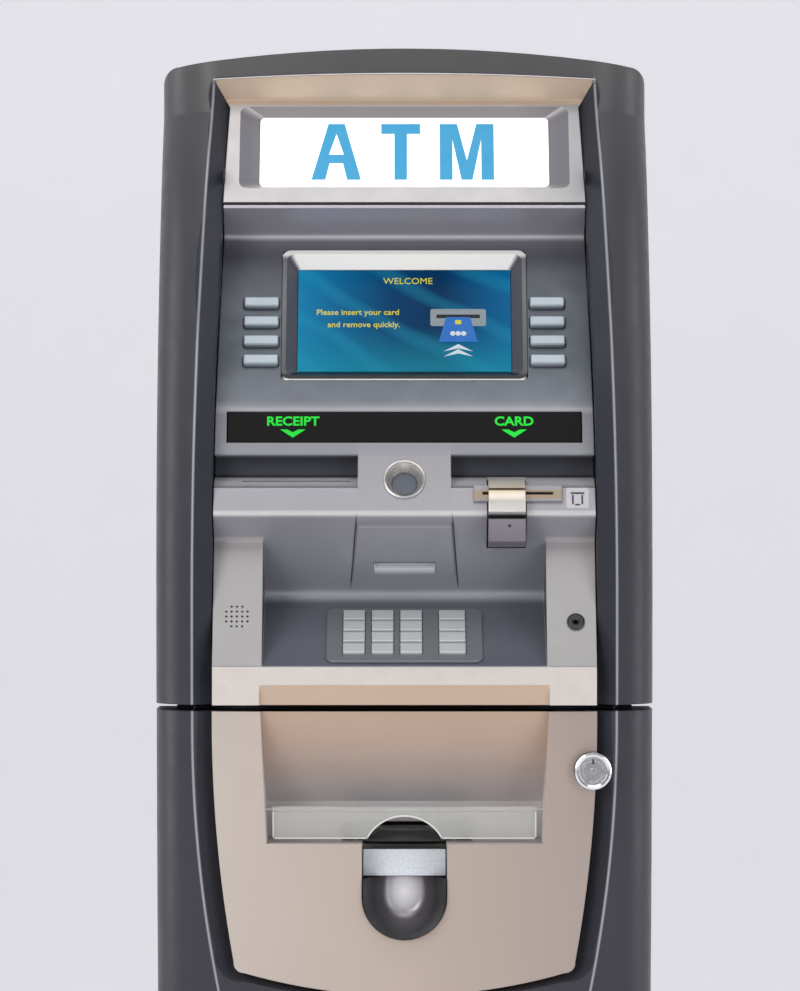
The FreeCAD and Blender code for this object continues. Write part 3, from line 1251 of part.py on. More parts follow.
def dispenser():
    side = [
        box(x, -110, "disp_low_z", 3, 330, "disp_top_z - disp_low_z") for x in ("-disp_w/2", "disp_w/2 - 3")
    ]
    base = box("-disp_w/2 + 2", -110, "disp_low_z", "disp_w - 4", 330, 3)
    cover = box("-disp_w/2 + 2", -60, "disp_top_z - 3", "disp_w - 4", 280, 3)
    back = box("-disp_w/2 + 2", 217, "disp_low_z", "disp_w - 4", 3, "disp_top_z - disp_low_z")
    bridge = box("-disp_w/2 + 2", -112, "mouth_z - 24", "disp_w - 4", 4, 70)
    window_box = box("-mouth_w/2 + 3", -120, "mouth_z + 3", "mouth_w - 6", 20, "mouth_h - 6")
    shaft_holes = rod(-120, 20, 700, "x", 4.06, 240)
    frame = cut(fuse(*side, base, cover, back, bridge), window_box, shaft_holes)
    mouth = cut(
        box("-mouth_w/2", -204, "mouth_z", "mouth_w", 93, "mouth_h"),
        box("-mouth_w/2 + 3", -210, "mouth_z + 3", "mouth_w - 6", 120, "mouth_h - 6"),
    )
    lower_lip = box("-pocket_w/2 + 1", -206, "mouth_z - 1", "pocket_w - 2", 20, 1.5)
    node(fuse(frame, mouth, lower_lip), "dispenser_frame")

    cassette = pad(rect("cass_w", "cass_len"), "cass_h")
    soften(cassette, 4, lambda e: abs(e.Vertexes[0].Z - e.Vertexes[-1].Z) > 100)
    pocket(cassette, rect("cass_w - 8", "cass_len - 8"), "cass_h - 5", offset="cass_h")
    grip = pad(rect(70, 8), 14)
    lid = box("-cass_w/2 + 4.2", "-cass_len/2 + 4.2", "cass_h - 4", "cass_w - 8.4", "cass_len - 8.4", 4)
    lid_cut = cut(lid, box("-cass_w/2 + 30", "cass_len/2 - 70", "cass_h - 10", "cass_w - 60", 50, 20))
    notes = box(-33, "-cass_len/2 + 20", 6, 66, 156, "cass_h - 30")
    place(grip, 0, "-cass_len/2 - 4.2", "cass_h/2")
    pieces = group(cassette, grip, lid_cut, notes)
    doc.recompute()
    pieces.Placement = FreeCAD.Placement(V(0, 56, D["disp_low_z"] + 3.2), FreeCAD.Rotation())
    node(pieces, "note_cassette")

    shaft = rod("-disp_w/2 + 0.5", 20, 700, "x", 4, "disp_w - 1")
    rollers = [rod(x, 20, 700, "x", "roller_r", 22) for x in (-61, -11, 39)]
    gear = rod("disp_w/2 - 16", 20, 700, "x", 24, 6)
    node(fuse(shaft, *rollers, gear), "feed_rollers")


def electronics():
    supply = pad(rect(150, 100), 62)
    soften(supply, 2, lambda e: abs(e.Vertexes[0].Z - e.Vertexes[-1].Z) > 30)
    supply.Placement = FreeCAD.Placement(V(-90, 200, D["head_bottom"] + D["head_wall"]), FreeCAD.Rotation())
    node(supply, "power_supply")
    board = box(-120, "overall_d/2 - head_wall - 14", 980, 240, 2, 180)
    posts = [
        rod(x, "overall_d/2 - head_wall - 12.2", z, "y", 3, 12.2) for x in (-110, 110) for z in (990, 1150)
    ]
    chips = [
        box(-60, "overall_d/2 - head_wall - 22", 1060, 60, 8.2, 60),
        box(30, "overall_d/2 - head_wall - 20", 1000, 40, 6.2, 40),
        box(-100, "overall_d/2 - head_wall - 28", 990, 24, 14.2, 30),
    ]
    node(fuse(board, *posts, *chips), "control_board")


# ---------------------------------------------------------------- build and write

safe_body()
head_cabinet()
head_shell()
head_door_frame()
fascia_panel()
sign_frame()
screen_bezel()
head_door_parts()
card_bezel()
reader_and_printer()
audio_parts()
head_lock()
lower_shell()
front_shield()
cash_tray()
note_guard()
cover_lock()
vault_door()
bolt_work()
dispenser()
electronics()
doc.recompute()

for obj in doc.Objects:
    if "Invalid" in obj.State or "Error" in obj.State:
        raise RuntimeError(f"{obj.Label} failed: {obj.State}")
os.makedirs("parts", exist_ok=True)
for old in os.listdir("parts"):
    os.remove(os.path.join("parts", old))
for obj in nodes:
    shape = obj.Shape
    if shape.isNull() or not shape.isValid() or shape.Volume <= 0:
        raise RuntimeError(f"{obj.Label} has no valid solid")
    shape.exportStep(os.path.join("parts", f"{obj.Label}.step"))
    bounds = shape.BoundBox
    print(
        f"{obj.Label:22s} solids {len(shape.Solids)} volume {shape.Volume / 1000:9.1f} cm3 "
        f"x {bounds.XMin:7.1f} {bounds.XMax:7.1f} y {bounds.YMin:7.1f} {bounds.YMax:7.1f} "
        f"z {bounds.ZMin:7.1f} {bounds.ZMax:7.1f}")
print(len(nodes), "nodes")
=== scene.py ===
import math

import bpy
import bmesh
from mathutils import Matrix, Vector


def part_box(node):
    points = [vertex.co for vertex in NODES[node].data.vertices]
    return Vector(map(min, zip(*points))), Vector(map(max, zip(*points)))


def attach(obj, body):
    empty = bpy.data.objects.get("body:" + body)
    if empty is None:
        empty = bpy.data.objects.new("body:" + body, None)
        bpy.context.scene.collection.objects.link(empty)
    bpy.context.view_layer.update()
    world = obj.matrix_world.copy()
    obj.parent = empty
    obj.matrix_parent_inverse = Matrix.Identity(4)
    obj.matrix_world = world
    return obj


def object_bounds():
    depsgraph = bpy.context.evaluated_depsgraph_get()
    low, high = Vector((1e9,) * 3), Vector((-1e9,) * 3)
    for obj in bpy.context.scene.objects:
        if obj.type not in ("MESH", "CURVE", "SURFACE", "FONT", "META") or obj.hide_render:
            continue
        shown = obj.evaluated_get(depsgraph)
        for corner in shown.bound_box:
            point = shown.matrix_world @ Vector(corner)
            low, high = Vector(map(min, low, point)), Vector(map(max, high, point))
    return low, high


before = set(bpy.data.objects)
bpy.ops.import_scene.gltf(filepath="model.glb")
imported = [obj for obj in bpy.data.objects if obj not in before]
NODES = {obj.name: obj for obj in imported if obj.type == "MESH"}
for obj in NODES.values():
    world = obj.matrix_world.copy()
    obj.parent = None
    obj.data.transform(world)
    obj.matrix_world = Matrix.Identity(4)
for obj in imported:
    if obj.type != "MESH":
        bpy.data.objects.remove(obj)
cad_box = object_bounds()
KEYS = sorted(n for n in NODES if n.startswith("key_"))
SOFT_KEYS = sorted(n for n in NODES if n.startswith("screen_key_"))


# ------------------------------------------------------------------ materials

def srgb(r, g, b):
    def linear(c):
        c = c / 255
        return c / 12.92 if c <= 0.04045 else ((c + 0.055) / 1.055) ** 2.4
    return (linear(r), linear(g), linear(b), 1.0)


class Shader:
    """A material under construction: small helpers over its node tree."""

    def __init__(self, name):
        self.material = bpy.data.materials.new(name)
        self.material.use_nodes = True
        self.tree = self.material.node_tree
        self.tree.nodes.clear()
        self.out = self.node("ShaderNodeOutputMaterial")
        self.bsdf = self.node("ShaderNodeBsdfPrincipled")
        self.link(self.bsdf.outputs["BSDF"], self.out.inputs["Surface"])
        source = self.node("ShaderNodeTexCoord")
        self.coords = source.outputs["Object"]
        self.normals = source.outputs["Normal"]

    def node(self, kind, **values):
        made = self.tree.nodes.new(kind)
        for key, value in values.items():
            setattr(made, key, value)
        return made

    def link(self, a, b):
        self.tree.links.new(a, b)

    def set(self, **values):
        for key, value in values.items():
            self.bsdf.inputs[key.replace("_", " ")].default_value = value
        return self

    def noise(self, scale, detail=2.0, stretch=(1, 1, 1), rough=0.5):
        mapping = self.node("ShaderNodeMapping")
        mapping.inputs["Scale"].default_value = stretch
        self.link(self.coords, mapping.inputs["Vector"])
        made = self.node("ShaderNodeTexNoise")
        made.inputs["Scale"].default_value = scale
        made.inputs["Detail"].default_value = detail
        made.inputs["Roughness"].default_value = rough
        self.link(mapping.outputs["Vector"], made.inputs["Vector"])
        return made.outputs["Fac"]

    def spread(self, value, low, high, from_low=0.3, from_high=0.7):
        made = self.node("ShaderNodeMapRange")
        limits = {"From Min": from_low, "From Max": from_high, "To Min": low, "To Max": high}
        for key, number in limits.items():
            made.inputs[key].default_value = number
        self.link(value, made.inputs["Value"])
        return made.outputs["Result"]

    def calc(self, operation, *values):
        made = self.node("ShaderNodeMath", operation=operation)
        for socket, value in zip(made.inputs, values):
            if isinstance(value, (int, float)):
                socket.default_value = value
            else:
                self.link(value, socket)
        return made.outputs[0]

    def axis(self, which, absolute=False, source=None):
        split = self.node("ShaderNodeSeparateXYZ")
        self.link(source or self.coords, split.inputs["Vector"])
        value = split.outputs[which]
        return self.calc("ABSOLUTE", value) if absolute else value

    def inward(self):
        """1 on faces that look towards the machine's middle plane."""
        turned = self.calc("MULTIPLY", self.axis("X", source=self.normals), self.axis("X"))
        return self.spread(turned, 1.0, 0.0, -0.05, -0.02)

    def band(self, value, low, high, soft=0.0005):
        """1 between two values."""
        rise = self.spread(value, 0.0, 1.0, low - soft, low + soft)
        fall = self.spread(value, 1.0, 0.0, high - soft, high + soft)
        return self.calc("MULTIPLY", rise, fall)

    def step(self, value, edge, soft=0.0006):
        return self.spread(value, 0.0, 1.0, edge - soft, edge + soft)

    def ramp(self, value, stops, low, high):
        """Colours along a value; stops are (value, colour) pairs."""
        made = self.node("ShaderNodeValToRGB")
        elements = made.color_ramp.elements
        while len(elements) > 1:
            elements.remove(elements[-1])
        for i, (at, colour) in enumerate(stops):
            position = (at - low) / (high - low)
            element = elements[0] if i == 0 else elements.new(position)
            element.position = position
            element.color = colour
        self.link(self.spread(value, 0.0, 1.0, low, high), made.inputs["Fac"])
        return made.outputs["Color"]

    def mix(self, share, a, b, blend="MIX"):
        made = self.node("ShaderNodeMix", data_type="RGBA", blend_type=blend)
        for key, value in ((0, share), (6, a), (7, b)):
            if isinstance(value, (int, float, tuple)):
                made.inputs[key].default_value = value
            else:
                self.link(value, made.inputs[key])
        return made.outputs[2]

    def grain(self, colour, strength=0.06, scale=900.0, mottle=0.05, stretch=(1, 1, 1)):
        """Breaks a colour up with fine grain and slow unevenness."""
        fine = self.spread(self.noise(scale, 3.0, stretch), 1 - strength, 1 + strength)
        slow = self.spread(self.noise(7.0, 2.0), 1 - mottle, 1 + mottle)
        both = self.calc("MULTIPLY", fine, slow)
        grey = self.node("ShaderNodeCombineColor")
        for key in ("Red", "Green", "Blue"):
            self.link(both, grey.inputs[key])
        toned = self.mix(1.0, colour, grey.outputs["Color"], "MULTIPLY")
        self.link(toned, self.bsdf.inputs["Base Color"])
        return self

    def rough(self, low, high, scale=60.0, stretch=(1, 1, 1)):
        self.link(self.spread(self.noise(scale, 4.0, stretch), low, high), self.bsdf.inputs["Roughness"])
        return self

    def bump(self, scale, strength, distance=0.0002, stretch=(1, 1, 1), edge=0.0):
        made = self.node("ShaderNodeBump")
        made.inputs["Strength"].default_value = strength
        made.inputs["Distance"].default_value = distance
        self.link(self.noise(scale, 3.0, stretch), made.inputs["Height"])
        if edge:
            bevel = self.node("ShaderNodeBevel", samples=4)
            bevel.inputs["Radius"].default_value = edge
            self.link(bevel.outputs["Normal"], made.inputs["Normal"])
        self.link(made.outputs["Normal"], self.bsdf.inputs["Normal"])
        return self

    def emit(self, strength, body=None):
        """Gives off the base colour; body is the face's own colour under the light."""
        base = self.bsdf.inputs["Base Color"]
        self.link(base.links[0].from_socket, self.bsdf.inputs["Emission Color"])
        if body is not None:
            self.tree.links.remove(base.links[0])
            base.default_value = body
        self.bsdf.inputs["Emission Strength"].default_value = strength
        return self


def paint(name, colour, metallic=0.0, rough=(0.35, 0.5), grain=0.05, bump=0.12, edge=0.0, scale=900.0,
          **values):
    made = Shader(name).set(Metallic=metallic, **values)
    made.grain(colour, grain, scale).rough(*rough).bump(scale, bump, edge=edge)
    return made.material


def glow(name, colour, strength, grain=0.04, body=None):
    """A lit, faintly uneven face; body is its own colour under the light."""
    made = Shader(name).set(Roughness=0.4, Specular_IOR_Level=0.2)
    made.grain(colour, grain, 300.0).emit(strength, body)
    return made.rough(0.3, 0.5).material


def brushed(name, colour, along=(1, 60, 60), rough=(0.28, 0.42), edge=0.0004):
    made = Shader(name).set(Metallic=0.9)
    made.grain(colour, 0.10, 40.0, 0.04, along).rough(*rough, 40.0, along)
    made.bump(40.0, 0.08, 0.0001, along, edge)
    return made.material


def fascia_paint():
    """Metallic paint whose colour changes from panel to panel up the fascia; the tones are painted light and
    shade: painted highlight lines on the edges, painted shade on the shelf and under the sign, a painted warm
    floor reflection at the foot, painted shadow lines beside the middle column and painted shade on the
    inward cheeks.
    """
    made = Shader("fascia_silver").set(Metallic=0.4, Coat_Weight=0.1, Coat_Roughness=0.25)
    z, x = made.axis("Z"), made.axis("X", True)
    # These tones are painted light and shade: the lip and wall lit, the shelf in painted shade, the tan a
    # painted warm floor reflection
    lip, painted_floor_reflection = srgb(222, 214, 206), srgb(200, 176, 154)
    shelf, wall = srgb(106, 109, 120), srgb(174, 176, 182)
    painted_edge_highlight = srgb(214, 212, 211)
    # Up the head: painted light and shade on each panel, with painted highlight lines on its ledges and
    # painted shade under the sign
    head = [
        (1.079, srgb(148, 147, 153)), (1.112, srgb(134, 132, 139)), (1.1165, srgb(160, 160, 163)),
        (1.119, srgb(124, 124, 129)), (1.124, srgb(100, 104, 112)), (1.16, srgb(72, 79, 86)),
        (1.22, srgb(76, 81, 88)), (1.25, srgb(104, 104, 112)), (1.259, srgb(126, 125, 133)),
        (1.2615, srgb(196, 194, 198)), (1.265, srgb(176, 173, 180)), (1.29, srgb(172, 169, 176)),
    ]
    foot = [(0.876, lip), (0.9075, lip), (0.9085, shelf), (0.957, srgb(114, 117, 126)), (0.966, wall),
            (1.000, srgb(166, 167, 173)), (1.0285, srgb(158, 156, 162)), (1.0298, painted_edge_highlight),
            (1.0322, painted_edge_highlight), (1.034, srgb(164, 162, 166))]
    # Beside the column: a painted highlight on the lip, painted shade in the groove above it
    strip = [(1.0535, srgb(164, 162, 167)), (1.055, srgb(214, 214, 216)), (1.0603, srgb(206, 206, 208)),
             (1.0612, srgb(72, 74, 82)), (1.0775, srgb(52, 54, 62)), (1.0787, srgb(140, 142, 146))]
    cheek = [(0.876, lip), (0.9075, lip), (0.9085, srgb(172, 170, 169)), (1.0085, srgb(172, 168, 169)),
             (1.0105, srgb(200, 196, 196)), (1.013, srgb(158, 156, 162)), (1.0285, srgb(158, 156, 162)),
             (1.0298, painted_edge_highlight), (1.0322, painted_edge_highlight), (1.034, srgb(164, 162, 166))]
    middle = made.ramp(z, foot + [(1.078, srgb(156, 154, 157))] + head, 0.87, 1.3)
    sides = made.ramp(z, foot + strip + head[1:], 0.87, 1.3)
    cheeks = made.ramp(z, cheek + strip + head[1:], 0.87, 1.3)
    colour = made.mix(made.step(x, 0.0378), middle, sides)
    colour = made.mix(made.step(x, 0.1146), colour, cheeks)
    between = made.calc("SUBTRACT", 1.0, made.step(x, 0.1168))
    # Painted warm floor reflection low on the fascia, inside the cheeks
    on_ramp = made.calc("MULTIPLY", between, made.spread(z, 1.0, 0.0, 0.8928, 0.8938))
    colour = made.mix(on_ramp, colour, painted_floor_reflection)
    # Painted shadow lines along both edges of the middle column
    edge = made.calc("SUBTRACT", x, made.calc("MULTIPLY_ADD", made.calc("SUBTRACT", 1.031, z), 0.090, 0.0383))
    line = made.calc("MULTIPLY", made.band(edge, -0.0002, 0.0010, 0.0004), made.band(z, 0.972, 1.0285, 0.004))
    colour = made.mix(line, colour, srgb(52, 52, 60))
    # Painted shade on the cheek faces that turn inward
    painted_cheek_shade = made.calc("MULTIPLY", made.inward(), made.band(z, 0.909, 1.006))
    colour = made.mix(painted_cheek_shade, colour, srgb(88, 90, 100))
    made.grain(colour, 0.05, 1500.0, 0.03).rough(0.35, 0.46).bump(1500.0, 0.10, edge=0.0012)
    return made.material


def shield_paint():
    made = Shader("shield_silver").set(Metallic=0.4, Coat_Weight=0.1, Coat_Roughness=0.25)
    # Lighter at the left and darker at the right: painted shading across the curved front
    colour = made.ramp(made.axis("X"), [
        (-0.155, srgb(200, 189, 179)), (0.0, srgb(192, 176, 162)), (0.155, srgb(172, 157, 149)),
    ], -0.16, 0.16)
    made.grain(colour, 0.045, 1500.0, 0.02).rough(0.36, 0.46).bump(1500.0, 0.10, edge=0.0012)
    return made.material


def dark_shell():
    """Fine-textured dark moulding with light and shade painted in: painted shade on the bevels that face
    inward, a painted highlight along the crease and painted light towards the hood.
    """
    made = Shader("shell_dark")
    made.set(Metallic=0.15, Coat_Weight=0.06, Coat_Roughness=0.3, Specular_IOR_Level=0.22)
    z = made.axis("Z")
    above = made.calc("MAXIMUM", made.calc("SUBTRACT", z, 0.95), 0.0)
    below = made.calc("MAXIMUM", made.calc("SUBTRACT", 0.86, z), 0.0)
    # Painted highlight line along the crease where the shell turns inward, on the front only
    crease = 0.172
    for reach, bend in ((above, 0.0665), (below, 0.446)):
        square = made.calc("MULTIPLY", reach, reach)
        crease = made.calc("SUBTRACT", crease, made.calc("MULTIPLY", square, bend))
    apart = made.calc("SUBTRACT", made.axis("X", True), crease)
    front = made.spread(made.axis("Y"), 1.0, 0.0, -0.135, -0.125)
    line = made.calc("MULTIPLY", made.band(apart, -0.0012, 0.0003, 0.0007), made.band(z, 0.64, 1.392, 0.004))
    line = made.calc("MULTIPLY", made.calc("MULTIPLY", line, front), 0.6)
    # Lighter towards the top: painted light on the hood
    lower = made.ramp(z, [(0.0, srgb(64, 63, 69)), (1.0, srgb(62, 61, 67)), (1.3, srgb(74, 73, 77)),
                          (1.385, srgb(84, 83, 84)), (1.42, srgb(90, 88, 88))], 0.0, 1.42)
    # Painted shade on the bevels that face inward
    colour = made.mix(made.inward(), lower, srgb(58, 60, 67))
    colour = made.mix(line, colour, srgb(206, 212, 216))
    made.grain(colour, 0.07, 1400.0, 0.05).rough(0.32, 0.44).bump(1400.0, 0.16, edge=0.0022)
    return made.material


def sign_paint():
    """Silver surround with light and shade painted in: painted shade towards the right, painted shade on the
    inward faces of the grey funnel round the lit panel, grey paint deepened with painted shadow on faces that
    look down, and a warm cap above it.
    """
    made = Shader("sign_silver").set(Metallic=0.3, Coat_Weight=0.15)
    z = made.axis("Z")
    # Faces that look down: grey paint deepened with painted shadow
    down = made.spread(made.axis("Z", source=made.normals), 1.0, 0.0, -0.35, -0.1)
    # Painted shade growing towards the right of the rim
    shade_to_right = made.spread(made.axis("X"), 0.0, 1.0, 0.09, 0.145)
    rim = made.mix(shade_to_right, srgb(186, 182, 182), srgb(152, 152, 153))
    # Painted shade on the inward faces of the funnel
    colour = made.mix(made.inward(), rim, srgb(122, 120, 127))
    colour = made.mix(down, colour, srgb(96, 88, 92))
    colour = made.mix(made.step(z, 1.3725, 0.001), colour, srgb(198, 176, 154))
    made.grain(colour, 0.045, 1500.0, 0.02).rough(0.34, 0.46).bump(1500.0, 0.10, edge=0.0012)
    return made.material


def bezel_paint():
    """Rim and funnel round the display with light and shade painted in: a painted highlight on the rim's top
    edge and on faces turned up above the display, painted shade on faces turned down under it and inward
    beside it.
    """
    made = Shader("bezel_grey").set(Metallic=0.0, Specular_IOR_Level=0.3)
    up = made.axis("Z", source=made.normals)
    z = made.axis("Z")
    # Painted highlight on faces turned up, painted shade on faces turned down
    colour = made.mix(made.spread(up, 0.0, 1.0, -0.3, 0.1), srgb(255, 254, 248), srgb(24, 25, 28))
    # Painted shade on inward faces
    colour = made.mix(made.inward(), colour, srgb(84, 85, 92))
    # Rim: painted shade low down, painted highlight along the top edge
    outline = made.ramp(z, [(1.140, srgb(26, 27, 30)), (1.1445, srgb(34, 35, 38)), (1.147, srgb(84, 86, 90)),
                            (1.243, srgb(120, 120, 124)), (1.246, srgb(240, 238, 234))], 1.138, 1.252)
    not_inward = made.spread(made.inward(), 1.0, 0.0, 0.2, 0.4)
    rim = made.calc("MULTIPLY", made.band(up, 0.42, 0.58, 0.03), not_inward)
    colour = made.mix(rim, colour, outline)
    made.grain(colour, 0.045, 1500.0, 0.02).rough(0.34, 0.46).bump(1500.0, 0.08, edge=0.0008)
    return made.material


def tray_paint():
    """Satin ramp with light and shade painted in: a painted warm floor reflection at the top, a painted
    highlight below it, then grey lower down and painted shade deep in the finger pocket.
    """
    made = Shader("tray_silver").set(Metallic=0.25, Coat_Weight=0.1)
    colour = made.ramp(made.axis("Z"), [
        (0.684, srgb(60, 58, 62)), (0.737, srgb(78, 74, 80)), (0.762, srgb(150, 144, 144)),
        (0.768, srgb(226, 222, 224)), (0.80, srgb(224, 218, 218)), (0.825, srgb(200, 182, 170)),
        (0.845, srgb(192, 168, 150)), (0.872, srgb(192, 166, 144)),
    ], 0.68, 0.88)
    made.grain(colour, 0.05, 1200.0, 0.02).rough(0.38, 0.5).bump(1200.0, 0.08, edge=0.0008)
    return made.material


def cup_paint():
    """Polished dish with a painted highlight in the middle, fading to painted shade towards its rim."""
    made = Shader("pocket_cup").set(Metallic=0.35)
    across, down = made.axis("X"), made.calc("SUBTRACT", made.axis("Z"), 0.7235)
    down = made.calc("MULTIPLY", down, 0.8)
    reach = made.calc("SQRT", made.calc("ADD", made.calc("MULTIPLY", across, across),
                                        made.calc("MULTIPLY", down, down)))
    colour = made.ramp(reach, [
        (0.0, srgb(250, 248, 248)), (0.009, srgb(216, 214, 216)), (0.018, srgb(100, 96, 102)),
        (0.026, srgb(40, 38, 42)), (0.036, srgb(30, 29, 32)),
    ], 0.0, 0.036)
    made.grain(colour, 0.05, 900.0, 0.02).rough(0.3, 0.42).bump(900.0, 0.08, edge=0.0006)
    return made.material


def nose_paint():
    """Card guide with light and shade painted in along its height: warm at the top, a painted highlight on
    the rolled front, grey on the block below.
    """
    made = Shader("nose_silver").set(Metallic=0.45)
    z, x = made.axis("Z"), made.axis("X")
    colour = made.ramp(z, [
        (1.003, srgb(122, 118, 124)), (1.0265, srgb(142, 136, 142)), (1.0278, srgb(18, 18, 20)),
        (1.0302, srgb(18, 18, 20)), (1.0312, srgb(238, 236, 232)), (1.040, srgb(228, 222, 214)),
        (1.050, srgb(196, 180, 158)), (1.060, srgb(214, 208, 200)),
    ], 1.0, 1.062)
    outside = made.spread(made.calc("ABSOLUTE", made.calc("SUBTRACT", x, 0.083)), 0.0, 1.0, 0.0149, 0.0153)
    lip = made.mix(made.band(z, 1.0433, 1.0505, 0.0003), srgb(160, 158, 162), srgb(166, 148, 128))
    colour = made.mix(outside, colour, lip)
    made.grain(colour, 0.04, 1500.0, 0.02).rough(0.26, 0.36).bump(1500.0, 0.05, edge=0.0014)
    return made.material


def lamp_face():
    """Keypad light: a pale bar along the bottom of a grey recess."""
    made = Shader("lamp_bar").set(Roughness=0.4)
    colour = made.ramp(made.axis("Z"), [
        (0.980, srgb(120, 124, 130)), (0.9850, srgb(214, 216, 220)), (0.9895, srgb(236, 238, 240)),
        (0.9912, srgb(96, 99, 106)), (0.999, srgb(86, 89, 96)),
    ], 0.98, 1.0)
    made.grain(colour, 0.03, 900.0, 0.02).rough(0.3, 0.45).bump(900.0, 0.05)
    return made.material


def clear_guard():
    made = Shader("guard_clear").set(Roughness=0.2, IOR=1.3, Transmission_Weight=0.55)
    made.grain(srgb(226, 226, 222), 0.02, 200.0, 0.01).rough(0.16, 0.26).bump(60.0, 0.02)
    return made.material


M = {
    "fascia": fascia_paint(),
    "shield": shield_paint(),
    "dark": dark_shell(),
    "sign": sign_paint(),
    "bezel": bezel_paint(),
    "tray": tray_paint(),
    "nose": nose_paint(),
    "black": paint("moulded_black", srgb(26, 26, 28), 0.0, (0.35, 0.55)),
    "gloss_black": paint("gloss_black", srgb(11, 10, 9), 0.0, (0.3, 0.4), 0.2, 0.02, Specular_IOR_Level=0.15),
    "steel": paint("coated_steel", srgb(58, 59, 64), 0.1, (0.42, 0.58), 0.08, 0.3, edge=0.001, scale=420.0),
    "door_steel": paint("door_steel", srgb(96, 97, 100), 0.1, (0.42, 0.58), 0.08, 0.3, edge=0.001,
                        scale=420.0),
    "zinc": brushed("zinc_sheet", srgb(176, 174, 166), (3, 3, 40), (0.3, 0.5)),
    "keypad": paint("keypad_steel", srgb(124, 128, 132), 0.4, (0.34, 0.46), edge=0.0008, scale=1200.0),
    "key": paint("key_steel", srgb(206, 208, 208), 0.25, (0.28, 0.4), 0.05, 0.06, edge=0.0009, scale=1200.0),
    "soft_key": paint("soft_key_silver", srgb(160, 170, 178), 0.3, (0.28, 0.38), edge=0.001, scale=1500.0),
    "iris": paint("camera_iris", srgb(92, 98, 108), 0.2, (0.3, 0.45), scale=900.0),
    "cup": cup_paint(),
    "cup_band": paint("pocket_band", srgb(236, 241, 246), 0.2, (0.34, 0.46), 0.08, 0.1, scale=500.0),
    "label": paint("label_silver", srgb(196, 194, 198), 0.2, (0.3, 0.42), 0.04, 0.05, scale=1200.0),
    "ring": paint("jack_ring", srgb(70, 70, 74), 0.6, (0.24, 0.36)),
    "led": paint("reader_led", srgb(12, 12, 14), 0.0, (0.2, 0.3)),
    # Near-white paint for the painted highlights on the clear guard's cut edges
    "guard_edge": paint("guard_edge", srgb(228, 226, 222), 0.0, (0.2, 0.3), 0.03, 0.02),
    "trim": paint("trim_silver", srgb(205, 202, 198), 0.7, (0.22, 0.32), edge=0.001, scale=1500.0),
    "chrome": paint("lock_chrome", srgb(225, 225, 226), 1.0, (0.12, 0.22), 0.03, 0.03, edge=0.0006),
    "rubber": paint("rubber", srgb(30, 30, 30), 0.0, (0.6, 0.8), 0.1, 0.4),
    "paper": paint("thermal_paper", srgb(236, 234, 228), 0.0, (0.6, 0.75), 0.03, 0.1),
    "cassette": paint("cassette_grey", srgb(84, 92, 104), 0.0, (0.4, 0.55), 0.06, 0.25),
    "board": paint("solder_resist", srgb(18, 92, 50), 0.0, (0.3, 0.4), 0.12, 0.1, scale=300.0),
    "white": paint("white_moulding", srgb(228, 228, 226), 0.0, (0.4, 0.5)),
    "opal": glow("opal_lit", srgb(252, 253, 255), 0.75),
    "lamp": lamp_face(),
    "display": glow("display_off", srgb(6, 30, 52), 0.2),
    "engrave": paint("engraved_fill", srgb(60, 60, 64), 0.0, (0.5, 0.6)),
    "red_fill": paint("red_fill", srgb(196, 40, 48), 0.0, (0.5, 0.6)),
    "yellow_fill": paint("yellow_fill", srgb(214, 170, 30), 0.0, (0.5, 0.6)),
    "green_fill": paint("green_fill", srgb(40, 150, 80), 0.0, (0.5, 0.6)),
    "blue_letter": glow("blue_letter", srgb(68, 170, 219), 0.8, 0.03, srgb(30, 74, 96)),
    "green_lit": glow("green_lit", srgb(30, 230, 60), 0.95, 0.03, srgb(6, 40, 12)),
    "yellow_lit": glow("yellow_lit", srgb(222, 210, 60), 0.85, 0.03, srgb(40, 38, 10)),
    "guard": clear_guard(),
}

FINISH = {
    "safe_body": "steel", "head_cabinet": "steel", "head_shell": "dark", "lower_shell": "dark",
    "vault_door": "door_steel", "head_door_frame": "zinc", "lock_bolts": "zinc", "dispenser_frame": "zinc",
    "fascia_panel": "fascia", "front_shield": "shield", "sign_frame": "sign", "cash_tray": "tray",
    "screen_bezel": "bezel", "sign_lens": "opal", "sign_lightbox": "white", "lcd_module": "display",
    "guide_strip": "gloss_black", "camera_port": "trim", "keypad_lamp": "lamp", "keypad_plate": "keypad",
    "card_bezel": "nose", "card_reader": "black", "receipt_printer": "black", "paper_roll": "paper",
    "speaker": "black", "headphone_jack": "ring", "cover_lock_barrel": "chrome", "cover_lock_plug": "chrome",
    "head_lock": "chrome", "bolt_handle": "black", "lock_dial": "black", "note_guard": "guard",
    "note_cassette": "cassette", "feed_rollers": "rubber", "power_supply": "zinc", "control_board": "board",
}
FINISH.update({name: "key" for name in KEYS})
FINISH.update({name: "soft_key" for name in SOFT_KEYS})
for name, finish in FINISH.items():
    NODES[name].data.materials.clear()
    NODES[name].data.materials.append(M[finish])


# ------------------------------------------------------------------ building pieces

class Face:
    """A flat frame on the machine: u to the right, v up the panel, w out of it."""

    def __init__(self, node, tilt, thick):
        low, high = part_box(node)
        lean = math.radians(tilt)
        self.up = Vector((0, math.sin(lean), math.cos(lean)))
        self.out = Vector((0, -math.cos(lean), math.sin(lean)))
        self.origin = (low + high) / 2 + self.out * thick / 2

    def at(self, u, v, w=0.0):
        return self.origin + Vector((u, 0, 0)) + self.up * v + self.out * w

    def matrix(self, u=0.0, v=0.0, w=0.0):
        turn = Matrix((Vector((1, 0, 0)), self.up, self.out)).transposed().to_4x4()
        return Matrix.Translation(self.at(u, v, w)) @ turn


def piece(name, mesh, body, material, smooth=False):
    obj = bpy.data.objects.new(name, mesh)
    bpy.context.scene.collection.objects.link(obj)
    mesh.materials.clear()
    mesh.materials.append(material)
    for polygon in mesh.polygons:
        polygon.use_smooth = smooth
    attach(obj, body)
    return obj


